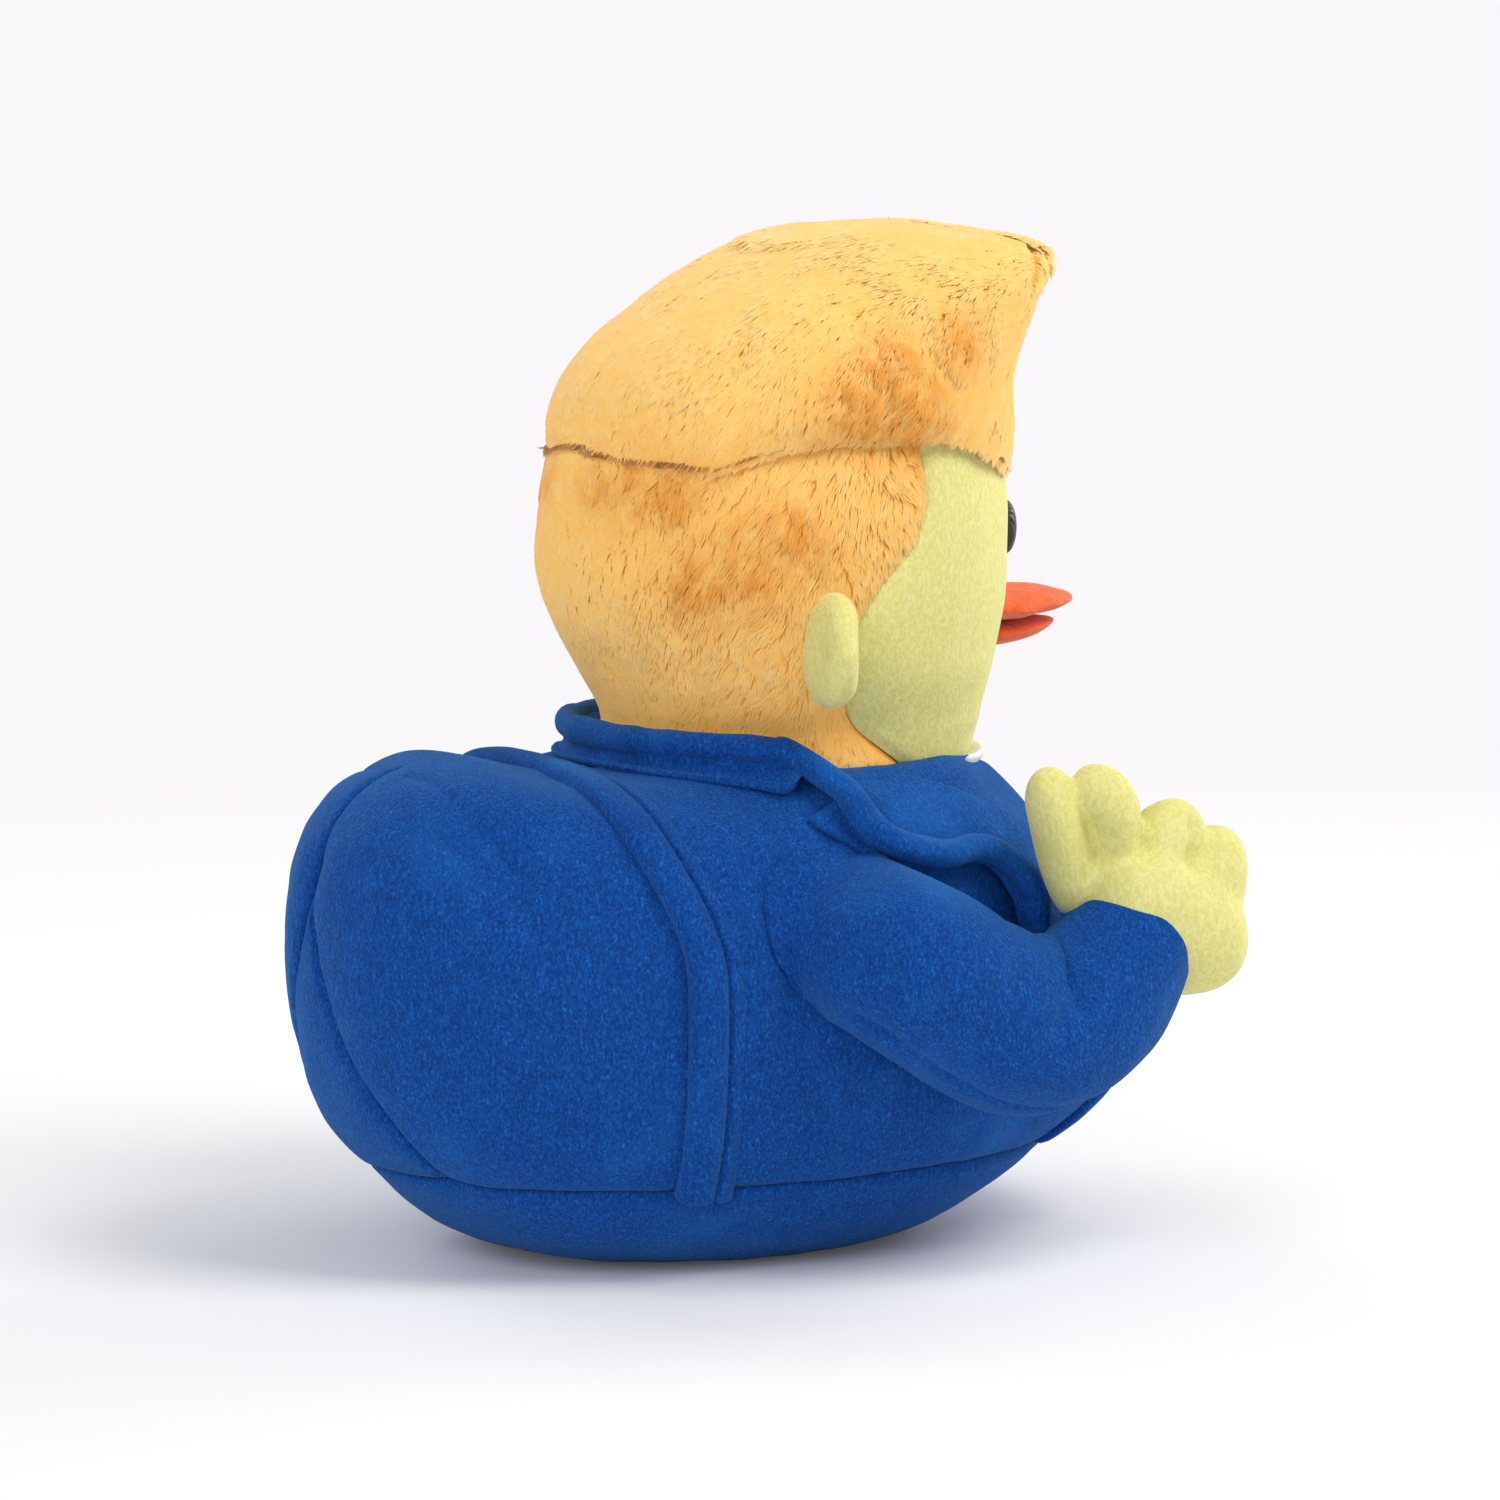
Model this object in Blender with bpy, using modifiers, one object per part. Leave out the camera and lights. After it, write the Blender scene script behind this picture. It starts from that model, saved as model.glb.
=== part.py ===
# A stuffed plush duck in a blue jacket, with swept-up fur hair and two bent arms.
# Metres, +Z up. The duck faces -Y and rests on z = 0, with the origin under its middle.
import math

import bmesh
import bpy
from mathutils import Vector
from mathutils.bvhtree import BVHTree

# Body
body_height = 0.1106
body_half_width = 0.061
body_front = 0.1010
body_rear = 0.0945
body_crown_back = 0.0250
back_dip = 0.0050
back_dip_start = 0.064
back_dip_end = 0.040
dip_power = 4
body_fullness = 2.25
rest_depth = 0.0005
belly_seam_height = 0.020
belly_bag_height = 0.010
bag_brim_share = 0.6
gusset_top = 0.080
gusset_half_turn = math.radians(22.5)
gusset_power = 1.25

# Cloth and gaps
cloth = 0.0014
gap = 0.0003
fill_gap = 0.0021
crown_fill_gap = 0.0030
layer_gap = 0.0006
seam_gap = 0.0006
front_gap_share = 3
hair_seam_gap = 0.0014
seam_share = 0.004
head_seam_turn = 0.007
neck_hidden_share = 0.045
overrun = 0.030

# Jacket
hem_side_back = 0.031
hem_top_back = 0.043
hem_width = 0.0085
hem_thickness = 0.0015
hem_rise_start_share = 0.60
hem_rise_share = 0.38
front_edge_width = 0.0055
front_edge_thickness = 0.0012
closing_drop = 0.0156
closing_height = body_height - closing_drop
cutaway_drop = 0.0466
cutaway_height = body_height - cutaway_drop
neckline_open_turn = math.radians(48)
cutaway_turn = math.radians(38)
collar_height = 0.0115
collar_reach = 0.0120
collar_thickness = 0.0022
collar_end_turn = math.radians(69)
lapel_stand = 0.0065
lapel_rest = 0.0008
lapel_thickness = 0.0022
shirt_collar_height = 0.0060
shirt_collar_turn = math.radians(60)

# Neck and head
neck_depth = 0.0056
neck_height = body_height - neck_depth
neck_radius = 0.0385
neck_under_share = 0.80
neck_back = -0.0195
neck_clearance = 0.0010
head_rise = 0.0990
head_top = neck_height + head_rise
head_half_width = 0.0495
head_front = 0.0700
head_rear = 0.0295
head_crown_ahead = 0.0195
hair_seam_rise = 0.0710
hair_seam_height = neck_height + hair_seam_rise

# Swept-up hair
hair_rise = 0.0445
hair_top = hair_seam_height + hair_rise
hair_half_width = 0.0510
hair_front = 0.0860
hair_rear = 0.0310
hair_crown_ahead = 0.0460
hair_fullness = 2.3
hair_rim_share = 0.009
brim_share = 0.42
quiff_turn = math.radians(48)

# Ears
ear_rise = 0.0291
ear_level_height = neck_height + ear_rise
ear_height = 0.0245
ear_depth = 0.0130
ear_thickness = 0.0100
ear_turn = math.radians(104)

# Bill
bill_rise = 0.0290
bill_height = neck_height + bill_rise
bill_reach = 0.0260
bill_half_width = 0.0180
upper_bill_thickness = 0.0050
lower_bill_thickness = 0.0040
lower_bill_reach_share = 0.82
bill_narrow_share = 0.25
bill_lift = 0.0015

# Eyes
eye_rise = 0.0510
eye_height = neck_height + eye_rise
eye_spread = 0.0165
eye_half_width = 0.0042
eye_half_height = 0.0060
eye_thickness = 0.0024

# Arms, given for the duck's left side and mirrored for its right
shoulder_lean = math.radians(10)
shoulder_clearance = 0.0012
shoulder_beside = 0.0030
shoulder_ahead = 0.0060
shoulder_drop = 0.0346
shoulder_place = Vector((body_half_width + shoulder_beside, -shoulder_ahead, body_height - shoulder_drop))
arm_root_place = shoulder_place + Vector((-0.0200, 0.0100, 0.0040))
upper_arm_place = shoulder_place + Vector((0.0040, -0.0070, -0.0060))
above_elbow_place = shoulder_place + Vector((0.0075, -0.0225, -0.0165))
elbow_place = shoulder_place + Vector((0.0080, -0.0370, -0.0240))
forearm_place = shoulder_place + Vector((0.0065, -0.0520, -0.0190))
wrist_place = shoulder_place + Vector((0.0040, -0.0650, -0.0055))
shoulder_radius = 0.0182
elbow_radius = 0.0170
cuff_radius = 0.0140
armhole_radius = 0.0175
armhole_width = 0.0040
arm_blunt = 2.6

# Hands, as steps from the wrist
palm_top_step = Vector((0.0000, 0.0060, 0.0130))
palm_heel_step = Vector((0.0000, -0.0180, -0.0050))
palm_radius = 0.0130
thumb_base_step = Vector((-0.0030, 0.0120, 0.0070))
thumb_tip_step = Vector((-0.0020, 0.0200, 0.0360))
thumb_radius = 0.0062
index_base_step = Vector((0.0020, 0.0030, 0.0215))
index_knuckle_step = Vector((0.0030, 0.0105, 0.0330))
index_tip_step = Vector((0.0000, 0.0200, 0.0350))
index_radius = 0.0058
middle_finger_step = Vector((0.0010, -0.0060, 0.0220))
ring_finger_step = Vector((0.0005, -0.0175, 0.0180))
finger_radius = 0.0078
lobe_half_length = Vector((0.0, -0.0060, 0.0060))
palm_blunt = 2.6
finger_blunt = 3.0

# Facets
body_around = 32
body_rings = 20
head_around = 28
head_rings = 18
limb_around = 14
limb_rings = 12
ear_rings = 8
finger_around = 10
finger_rings = 7
probe_rings = 60
probe_around = 96
ring_sides = 32
belly_rings = 7
bag_rings = 12
panel_across = 8
panel_rows = 14
gusset_across = 4
jacket_across = 11
jacket_rows = 16
front_across = 12
front_rows = 10
hem_across = 2
hem_rows = 34
hem_steps = 3
front_edge_across = 1
front_edge_rows = 10
collar_around = 22
collar_across = 6
shirt_collar_around = 16
shirt_collar_across = 1
lapel_across = 6
lapel_rows = 16
face_across = 12
face_rows = 10
back_across = 14
top_across = 20
quiff_across = 7
hair_rows = 11
crown_rings = 20
bill_around = 20
most_corners = 4
plane_merge = 0.00002
sharp_angle = math.radians(50)

# Steps by which a surface's direction is found, and the halvings in each search along it
small_turn = 0.01
small_level = 0.004
edge_level = 0.006
halvings = 24

# Outlines of the body from belly to back, as shares of its height, front, rear and half width.
# The last share is how far forward the widest place is
body_outline_shares = (
    (0.000, 0.000, 0.000, 0.000, 0.000),
    (0.000, 0.380, 0.400, 0.440, 0.000),
    (0.014, 0.460, 0.495, 0.590, 0.010),
    (0.041, 0.540, 0.585, 0.705, 0.020),
    (0.081, 0.620, 0.675, 0.795, 0.030),
    (0.145, 0.745, 0.770, 0.870, 0.035),
    (0.217, 0.865, 0.858, 0.925, 0.040),
    (0.298, 0.965, 0.920, 0.965, 0.045),
    (0.398, 1.000, 0.965, 0.990, 0.050),
    (0.506, 0.990, 0.990, 1.000, 0.050),
    (0.615, 0.935, 1.000, 0.990, 0.055),
    (0.714, 0.855, 0.995, 0.965, 0.060),
    (0.805, 0.770, 0.970, 0.925, 0.070),
    (0.877, 0.695, 0.925, 0.865, 0.080),
    (0.936, 0.630, 0.860, 0.765, 0.080),
    (0.976, 0.560, 0.760, 0.600, 0.080),
    (0.996, 0.440, 0.600, 0.360, 0.050),
)

# Outlines of the head above its round neck, as shares of the head's height, front, rear and half width
head_outline_shares = (
    (0.235, 0.935, 0.800, 0.905),
    (0.340, 0.985, 0.930, 0.960),
    (0.455, 1.000, 1.000, 0.990),
    (0.580, 1.000, 1.000, 1.000),
    (0.700, 0.955, 0.960, 0.975),
    (0.810, 0.865, 0.790, 0.905),
    (0.905, 0.710, 0.420, 0.740),
    (0.970, 0.500, -0.100, 0.470),
)

# Outlines of the swept-up hair above the head seam, as shares of its height, front, rear and half width.
# The last share is how far forward the widest place is
hair_outline_shares = (
    (0.000, 0.790, 0.960, 0.968, 0.220),
    (0.180, 0.795, 0.995, 0.995, 0.230),
    (0.370, 0.815, 0.900, 0.975, 0.260),
    (0.560, 0.855, 0.640, 0.910, 0.320),
    (0.740, 0.905, 0.230, 0.820, 0.400),
    (0.860, 0.940, -0.150, 0.710, 0.470),
    (0.930, 0.950, -0.420, 0.600, 0.520),
    (0.975, 0.910, -0.650, 0.440, 0.550),
)

# The inner edge, roll line and free edge of a lapel, from the collar to the waist: the turn from the front
# in degrees, and the share of the body's height
lapel_base_shares = (
    (82, 0.965),
    (76, 0.955),
    (70, 0.942),
    (63, 0.925),
    (57, 0.902),
    (51, 0.880),
    (47, 0.850),
    (45, 0.815),
    (43, 0.765),
    (39, 0.710),
    (31, 0.655),
    (22, 0.610),
    (14, 0.580),
    (8, 0.560),
)
lapel_roll_shares = (
    (89, 0.960),
    (88, 0.925),
    (87, 0.880),
    (83, 0.845),
    (77, 0.820),
    (71, 0.812),
    (66, 0.803),
    (62, 0.780),
    (57, 0.745),
    (52, 0.705),
    (43, 0.655),
    (33, 0.605),
    (21, 0.570),
    (10, 0.540),
)
lapel_edge_shares = (
    (91, 0.935),
    (90, 0.905),
    (89, 0.875),
    (86, 0.850),
    (82, 0.825),
    (77, 0.802),
    (72, 0.788),
    (68, 0.765),
    (64, 0.730),
    (59, 0.690),
    (50, 0.635),
    (39, 0.580),
    (26, 0.540),
    (12, 0.505),
)

# The collar from the neck seam over its roll to its fall, as shares of its reach and height.
# The last share is how much of it rests on the body
collar_profile_shares = (
    (0.00, 0.10, 1.00),
    (0.00, 0.80, 0.00),
    (0.22, 1.10, 0.00),
    (0.60, 0.75, 0.35),
    (1.00, 0.00, 1.00),
)

# How far the face reaches round each side of the head, from the neck up to the hair
face_edge_turns = [math.radians(turn) for turn in (82, 93, 99, 99, 92, 81, 77, 77)]


def between(before, start, end, after, share):
    """A smooth curve through start and end, share of the way along."""
    slope = (end - before) / 2
    next_slope = (after - start) / 2
    square = share * share
    cube = square * share
    return (
        start * (2 * cube - 3 * square + 1)
        + slope * (cube - 2 * square + share)
        + end * (3 * square - 2 * cube)
        + next_slope * (cube - square)
    )


def along(rows, level):
    """The row at a level from 0 to 1 of a list of rows, read from a smooth curve."""
    last = len(rows) - 1
    place = min(max(level, 0), 1) * last
    start = min(int(place), last - 1)
    before = rows[max(start - 1, 0)]
    after = rows[min(start + 2, last)]
    share = place - start
    return between(before, rows[start], rows[start + 1], after, share)


def rounded(value, fullness):
    """A sine or cosine for an outline that is an ellipse at fullness 2 and squarer above it."""
    return math.copysign(abs(value) ** (2 / fullness), value)


class Stack:
    """A soft form as outlines stacked upwards: height, front, rear, half width and widest place."""

    def __init__(self, rows, floor, fullness=2, settle=None):
        self.rows = [Row(row) for row in rows]
        self.floor = floor
        self.fullness = fullness
        self.settle = settle

    def raw(self, turn, level):
        height, front, rear, half_width, widest = along(self.rows, level).values
        across = rounded(math.sin(turn), self.fullness)
        ahead = rounded(math.cos(turn), self.fullness)
        reach = front - widest if ahead > 0 else rear + widest
        place = Vector((half_width * across, -widest - reach * ahead, height))
        return self.settle(place) if self.settle else place

    def out_of(self, turn, level):
        """The outward direction of the surface."""
        if level < edge_level:
            return Vector((0, 0, -1))
        if level > 1 - edge_level:
            return Vector((0, 0, 1))
        around = self.raw(turn + small_turn, level) - self.raw(turn - small_turn, level)
        upwards = self.raw(turn, level + small_level) - self.raw(turn, level - small_level)
        return around.cross(upwards).normalized()

    def point(self, turn, level, out=0):
        place = self.raw(turn, level) + self.out_of(turn, level) * out
        place.z = max(place.z, self.floor - out)
        return place

    def level_at(self, height):
        """The level at which the outlines reach a height."""
        low, high = 0, 1
        for _ in range(halvings):
            middle = (low + high) / 2
            if self.raw(0, middle).z < height:
                low = middle
            else:
                high = middle
        return (low + high) / 2


class Row:
    """Values that add and scale together, for one outline of a stack."""

    def __init__(self, values):
        self.values = tuple(values)

    def __add__(self, other):
        return Row(a + b for a, b in zip(self.values, other.values))

    def __sub__(self, other):
        return Row(a - b for a, b in zip(self.values, other.values))

    def __mul__(self, scale):
        return Row(a * scale for a in self.values)

    def __truediv__(self, scale):
        return Row(a / scale for a in self.values)


def eased(share):
    """A share from 0 to 1, with a smooth start and end."""
    share = min(max(share, 0), 1)
    return share * share * (3 - 2 * share)


def dip(place):
    """The back sinks a little between the raised tail and the collar."""
    start = eased((back_dip_start - place.y) / (back_dip_start - back_dip_end))
    end = eased((place.y + back_dip_start) / (back_dip_start + back_dip_end))
    place.z -= back_dip * start * end * max(place.z / body_height, 0) ** dip_power
    return place


def body_stack():
    rows = []
    for height, front, rear, half_width, widest in body_outline_shares:
        rows.append((
            height * body_height,
            front * body_front,
            rear * body_rear,
            half_width * body_half_width,
            widest * body_front,
        ))
    rows[0] = (-rest_depth,) + rows[0][1:]
    rows.append((body_height, -body_crown_back, body_crown_back, 0, -body_crown_back))
    return Stack(rows, 0, body_fullness, dip)


def head_stack():
    neck = neck_radius - neck_back, neck_radius + neck_back, neck_radius, -neck_back
    under = neck_radius * neck_under_share
    rows = [
        (neck_height, -neck_back, neck_back, 0, -neck_back),
        (neck_height, under - neck_back, under + neck_back, under, -neck_back),
        (neck_height + gap,) + neck,
        (neck_height + collar_height,) + neck,
    ]
    height_range = head_top - neck_height
    for height, front, rear, half_width in head_outline_shares:
        rows.append((
            neck_height + height * height_range,
            front * head_front,
            rear * head_rear,
            half_width * head_half_width,
            -neck_back,
        ))
    rows.append((head_top, head_crown_ahead, -head_crown_ahead, 0, head_crown_ahead))
    return Stack(rows, neck_height)


def hair_stack():
    rows = []
    for height, front, rear, half_width, widest in hair_outline_shares:
        rows.append((
            hair_seam_height + height * (hair_top - hair_seam_height),
            front * hair_front,
            rear * hair_rear,
            half_width * hair_half_width,
            widest * hair_front,
        ))
    rows.append((hair_top, hair_crown_ahead, -hair_crown_ahead, 0, hair_crown_ahead))
    return Stack(rows, hair_seam_height, hair_fullness)


def new_collection(name):
    collection = bpy.data.collections.new(name)
    bpy.context.scene.collection.children.link(collection)
    return collection


def material(name, colour, roughness):
    made = bpy.data.materials.new(name)
    made.use_nodes = True
    shader = made.node_tree.nodes["Principled BSDF"]
    shader.inputs["Base Color"].default_value = (*colour, 1)
    shader.inputs["Roughness"].default_value = roughness
    shader.inputs["Metallic"].default_value = 0
    return made


def add_object(name, bm, finish, parent=None, cutter=False):
    mesh = bpy.data.meshes.new(name)
    bm.to_mesh(mesh)
    bm.free()
    mesh.shade_smooth()
    mesh.set_sharp_from_angle(angle=sharp_angle)
    made = bpy.data.objects.new(name, mesh)
    if cutter:
        cutters.objects.link(made)
        made.hide_render = True
        made.display_type = "WIRE"
        return made
    parts.objects.link(made)
    mesh.materials.append(finish)
    if parent:
        made.parent = parent
        made.matrix_parent_inverse = parent.matrix_world.inverted()
    return made


def face_out(bm, centre):
    """Turns the faces of an open sheet away from a point inside the form."""
    bm.normal_update()
    facing = sum(face.normal.dot(face.calc_center_median() - centre) for face in bm.faces)
    if facing < 0:
        bmesh.ops.reverse_faces(bm, faces=bm.faces)


def closed_form(surface, around, rings):
    """A closed form, from a sphere whose turn and level are read off a surface."""
    bm = bmesh.new()
    bmesh.ops.create_uvsphere(bm, u_segments=around, v_segments=rings, radius=1)
    for vert in bm.verts:
        level = math.asin(min(max(vert.co.z, -1), 1)) / math.pi + 1 / 2
        vert.co = surface(math.atan2(vert.co.x, -vert.co.y), level)
    turn_out(bm)
    return bm


def turn_out(bm):
    """Turns the faces of a closed form outwards."""
    bmesh.ops.recalc_face_normals(bm, faces=bm.faces)
    if bm.calc_volume(signed=True) < 0:
        bmesh.ops.reverse_faces(bm, faces=bm.faces)


def cup(surface, around, rings):
    """An open cup, from the lower half of a sphere: level 0 is its pole and 1 its rim."""
    bm = bmesh.new()
    bmesh.ops.create_uvsphere(bm, u_segments=around, v_segments=2 * rings, radius=1)
    upper = [vert for vert in bm.verts if vert.co.z > gap]
    bmesh.ops.delete(bm, geom=upper, context="VERTS")
    for vert in bm.verts:
        level = math.asin(min(max(vert.co.z, -1), 1)) / (math.pi / 2) + 1
        vert.co = surface(math.atan2(vert.co.x, -vert.co.y), level)
    return bm


def sheet(surface, across, rows):
    """An open sheet, from a grid whose two shares are read off a surface."""
    bm = bmesh.new()
    bmesh.ops.create_grid(bm, x_segments=across, y_segments=rows, size=1)
    for vert in bm.verts:
        vert.co = surface((vert.co.x + 1) / 2, (vert.co.y + 1) / 2)
    bmesh.ops.remove_doubles(bm, verts=bm.verts, dist=gap)
    return bm


def thicken(made, thickness, outward=False):
    modifier = made.modifiers.new("Thickness", "SOLIDIFY")
    modifier.thickness = thickness
    modifier.offset = 1 if outward else -1
    modifier.use_rim = True


def cut(made, cutter):
    modifier = made.modifiers.new("Cut", "BOOLEAN")
    modifier.operation = "DIFFERENCE"
    modifier.solver = "EXACT"
    modifier.object = cutter


# The forms that everything follows
body = body_stack()
head = head_stack()
hair = hair_stack()
body_centre = Vector((0, 0, body_height / 2))
head_centre = Vector((0, neck_back, (neck_height + head_top) / 2))

for old in list(bpy.data.objects):
    bpy.data.objects.remove(old)
parts = new_collection("plush_duck")
cutters = new_collection("cutters")

blue = material("blue_plush", (0.010, 0.085, 0.330), 0.95)
dark_blue = material("blue_lining", (0.008, 0.060, 0.250), 0.95)
yellow = material("yellow_plush", (0.880, 0.830, 0.300), 0.95)
fur = material("golden_fur", (0.760, 0.400, 0.090), 0.95)
orange = material("orange_felt", (0.900, 0.150, 0.040), 0.90)
white = material("white_cloth", (0.850, 0.850, 0.850), 0.90)
black = material("black_thread", (0.020, 0.020, 0.020), 0.40)
fill = material("fibre_fill", (0.800, 0.800, 0.780), 1.00)


def body_probe():
    """The body's outer surface as a tree that rays can meet."""
    bm = closed_form(body.point, probe_around, probe_rings)
    tree = BVHTree.FromBMesh(bm)
    bm.free()
    return tree


probe = body_probe()


def body_under(x, y):
    """The body's surface straight below a place, and its outward direction."""
    place, out, _, _ = probe.ray_cast(Vector((x, y, body_height + overrun)), Vector((0, 0, -1)))
    return place, out


def neck_cutter():
    """The round room in which the head turns."""
    depth = body_height - neck_height + overrun
    bpy.ops.mesh.primitive_cylinder_add(
        vertices=ring_sides,
        radius=neck_radius + neck_clearance,
        depth=depth,
        location=(0, neck_back, neck_height - gap + depth / 2),
    )
    made = bpy.context.active_object
    made.name = "neck_room"
    for owner in list(made.users_collection):
        owner.objects.unlink(made)
    cutters.objects.link(made)
    made.hide_render = True
    made.display_type = "WIRE"
    return made


neck_room = neck_cutter()
seam_level = body.level_at(belly_seam_height)
closing_level = body.level_at(closing_height)
cutaway_level = body.level_at(cutaway_height)


def hem_back(height):
    """How far back the jacket's hem lies at a height: further on top than at the sides."""
    rise = eased((height / body_height - hem_rise_start_share) / hem_rise_share)
    return hem_side_back + (hem_top_back - hem_side_back) * rise


def hem_turn(level):
    """The turn at which the hem crosses a level of the body, or half a turn where it passes behind."""
    low, high = math.pi / 2, math.pi
    if body.raw(math.pi, level).y < hem_back(body.raw(math.pi, level).z):
        return math.pi
    for _ in range(halvings):
        middle = (low + high) / 2
        place = body.raw(middle, level)
        if place.y < hem_back(place.z):
            low = middle
        else:
            high = middle
    return (low + high) / 2


def seam_turn(level):
    """The turn that half a seam's gap takes at a level."""
    return seam_gap / 2 / max(body.raw(math.pi / 2, level).x, seam_gap)


def hem_top_level():
    """The level at which the hem crosses the middle of the back."""
    low, high = body.level_at(hem_rise_start_share * body_height), 1
    for _ in range(halvings):
        middle = (low + high) / 2
        place = body.raw(math.pi, middle)
        if place.y > hem_back(place.z):
            low = middle
        else:
            high = middle
    return (low + high) / 2


top_level = hem_top_level()


def front_turn(level):
    """How far the front edge lies from the middle at a level: it opens at the neck and at the belly."""
    height = body.raw(0, level).z
    if height > closing_height:
        share = min((height - closing_height) / (body_height - closing_height), 1)
        return neckline_open_turn * share
    return cutaway_turn * eased((cutaway_height - height) / (cutaway_height - belly_seam_height))


def torso_pieces():
    inner = cloth + fill_gap

    def stuffing(turn, level):
        place = body.point(turn, level, -inner)
        place.z = max(place.z, belly_bag_height + gap)
        return place

    made = add_object("torso_stuffing", closed_form(stuffing, body_around, body_rings), fill)
    cut(made, neck_room)

    bag_top = body.level_at(belly_bag_height)
    add_object("pellet_bag", closed_form(bag_point(bag_top, inner), body_around, bag_rings), fill)

    def belly(turn, level):
        return body.point(turn, level * (seam_level - seam_share))

    bm = cup(belly, body_around, belly_rings)
    face_out(bm, body_centre)
    thicken(add_object("belly_panel", bm, blue), cloth)


def bag_point(bag_top, inner):
    """The pellet bag: up the belly to its brim, then back over a flat lid."""

    def surface(turn, level):
        if level < bag_brim_share:
            place = body.point(turn, bag_top * level / bag_brim_share, -inner)
        else:
            shrink = (1 - level) / (1 - bag_brim_share)
            brim = body.point(turn, bag_top, -inner)
            place = Vector((brim.x * shrink, brim.y * shrink, belly_bag_height))
        place.z = min(place.z, belly_bag_height)
        return place

    return surface


def side_name(side):
    return "left" if side > 0 else "right"


def gusset_turn(level):
    """Half the turn that the tail gusset takes up at a level."""
    rise = (body.raw(math.pi, level).z - belly_seam_height) / (gusset_top - belly_seam_height)
    return gusset_half_turn * min(max(1 - rise, 0), 1) ** gusset_power


def tail_gusset():
    """The tongue of cloth that runs up from the belly between the two tail panels."""
    top = body.level_at(gusset_top)

    def surface(u, v):
        level = seam_level + seam_share + (top - seam_level - seam_share) * v
        turn = max(gusset_turn(level) - seam_turn(level), 0)
        return body.point(math.pi + turn * (2 * u - 1), level)

    bm = sheet(surface, gusset_across, panel_rows)
    face_out(bm, body_centre)
    thicken(add_object("tail_gusset", bm, blue), cloth)


def torso_panels(side):
    """The tail and jacket panels of one side of the body."""

    def tail(u, v):
        level = seam_level + seam_share + (top_level - seam_level - seam_share) * v
        start = min(hem_turn(level) + seam_turn(level), math.pi)
        end = max(math.pi - gusset_turn(level) - seam_turn(level), start)
        return body.point(side * (start + (end - start) * u), level)

    bm = sheet(tail, panel_across, panel_rows)
    face_out(bm, body_centre)
    thicken(add_object("tail_panel_" + side_name(side), bm, blue), cloth)

    def jacket(u, v):
        level = seam_level + seam_share + (1 - neck_hidden_share - seam_level - seam_share) * v
        start = front_turn(level) + seam_turn(level)
        end = hem_turn(level) - seam_turn(level)
        return body.point(side * (start + (end - start) * u), level)

    bm = sheet(jacket, jacket_across, jacket_rows)
    face_out(bm, body_centre)
    made = add_object("jacket_panel_" + side_name(side), bm, blue)
    thicken(made, cloth)
    cut(made, neck_room)


def front_panel(name, start, end, finish):
    """The cloth between the two front edges of the jacket, between two levels."""

    def surface(u, v):
        level = start + (end - start) * v
        turn = max(front_turn(level) - seam_turn(level) * front_gap_share, 0)
        return body.point(turn * (2 * u - 1), level)

    bm = sheet(surface, front_across, front_rows)
    face_out(bm, body_centre)
    made = add_object(name, bm, finish)
    thicken(made, cloth)
    cut(made, neck_room)


def hem_band():
    """The folded hem over the jacket's back edge, from one belly seam over the top to the other."""

    def hit(turn, across):
        back = hem_side_back
        for _ in range(hem_steps):
            start = Vector((0, back - across, body_height / 2))
            direction = Vector((math.sin(turn), 0, math.cos(turn)))
            place, out, _, _ = probe.ray_cast(start, direction)
            back = hem_back(place.z)
        return place, out if out.dot(direction) > 0 else -out

    low, high = math.pi / 2, math.pi
    for _ in range(halvings):
        middle = (low + high) / 2
        if hit(middle, 0)[0].z > belly_seam_height:
            low = middle
        else:
            high = middle

    def surface(u, v):
        place, out = hit(low * (2 * v - 1), hem_width * u)
        return place + out * layer_gap

    bm = sheet(surface, hem_across, hem_rows)
    face_out(bm, body_centre)
    thicken(add_object("jacket_hem_band", bm, blue), hem_thickness, outward=True)


def front_edge(side):
    """The folded front edge of the jacket, from the closing down to the belly seam."""

    def surface(u, v):
        level = seam_level + seam_share + (closing_level - seam_level - seam_share) * v
        radius = body.raw(0, level).length
        start = front_turn(level) + seam_turn(level) + front_edge_width * u / radius
        return body.point(side * start, level, layer_gap)

    bm = sheet(surface, front_edge_across, front_edge_rows)
    face_out(bm, body_centre)
    made = add_object("front_edge_band_" + side_name(side), bm, blue)
    thicken(made, front_edge_thickness, outward=True)


def collar():
    """The collar round the back of the neck: it stands up, rolls over and falls on the shoulders."""

    def surface(u, v):
        turn = collar_end_turn * (2 * u - 1)
        across = math.sin(turn)
        back = math.cos(turn)
        inner = neck_radius + neck_clearance + collar_thickness
        rise = collar_profile(v)
        radius = inner + collar_reach * rise[0]
        place = Vector((across * radius, neck_back + back * radius, 0))
        ground, out = body_under(place.x, place.y)
        lowest = ground + out * (layer_gap + collar_thickness)
        place.z = max(neck_height + collar_height * rise[1], lowest.z)
        return place * (1 - rise[2]) + lowest * rise[2]

    bm = sheet(surface, collar_around, collar_across)
    face_out(bm, Vector((0, neck_back, neck_height)))
    thicken(add_object("jacket_collar", bm, blue), collar_thickness)


def collar_profile(share):
    return along([Row(row) for row in collar_profile_shares], share).values


def shirt_collar():
    """The white collar round the front of the neck."""
    inner = neck_radius + neck_clearance

    def surface(u, v):
        turn = shirt_collar_turn * (2 * u - 1)
        place = Vector((inner * math.sin(turn), neck_back - inner * math.cos(turn), 0))
        place.z = neck_height - layer_gap + shirt_collar_height * v
        return place

    bm = sheet(surface, shirt_collar_around, shirt_collar_across)
    face_out(bm, head_centre)
    made = add_object("shirt_collar", bm, white)
    thicken(made, cloth, outward=True)
    cut(made, body_room)


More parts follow.
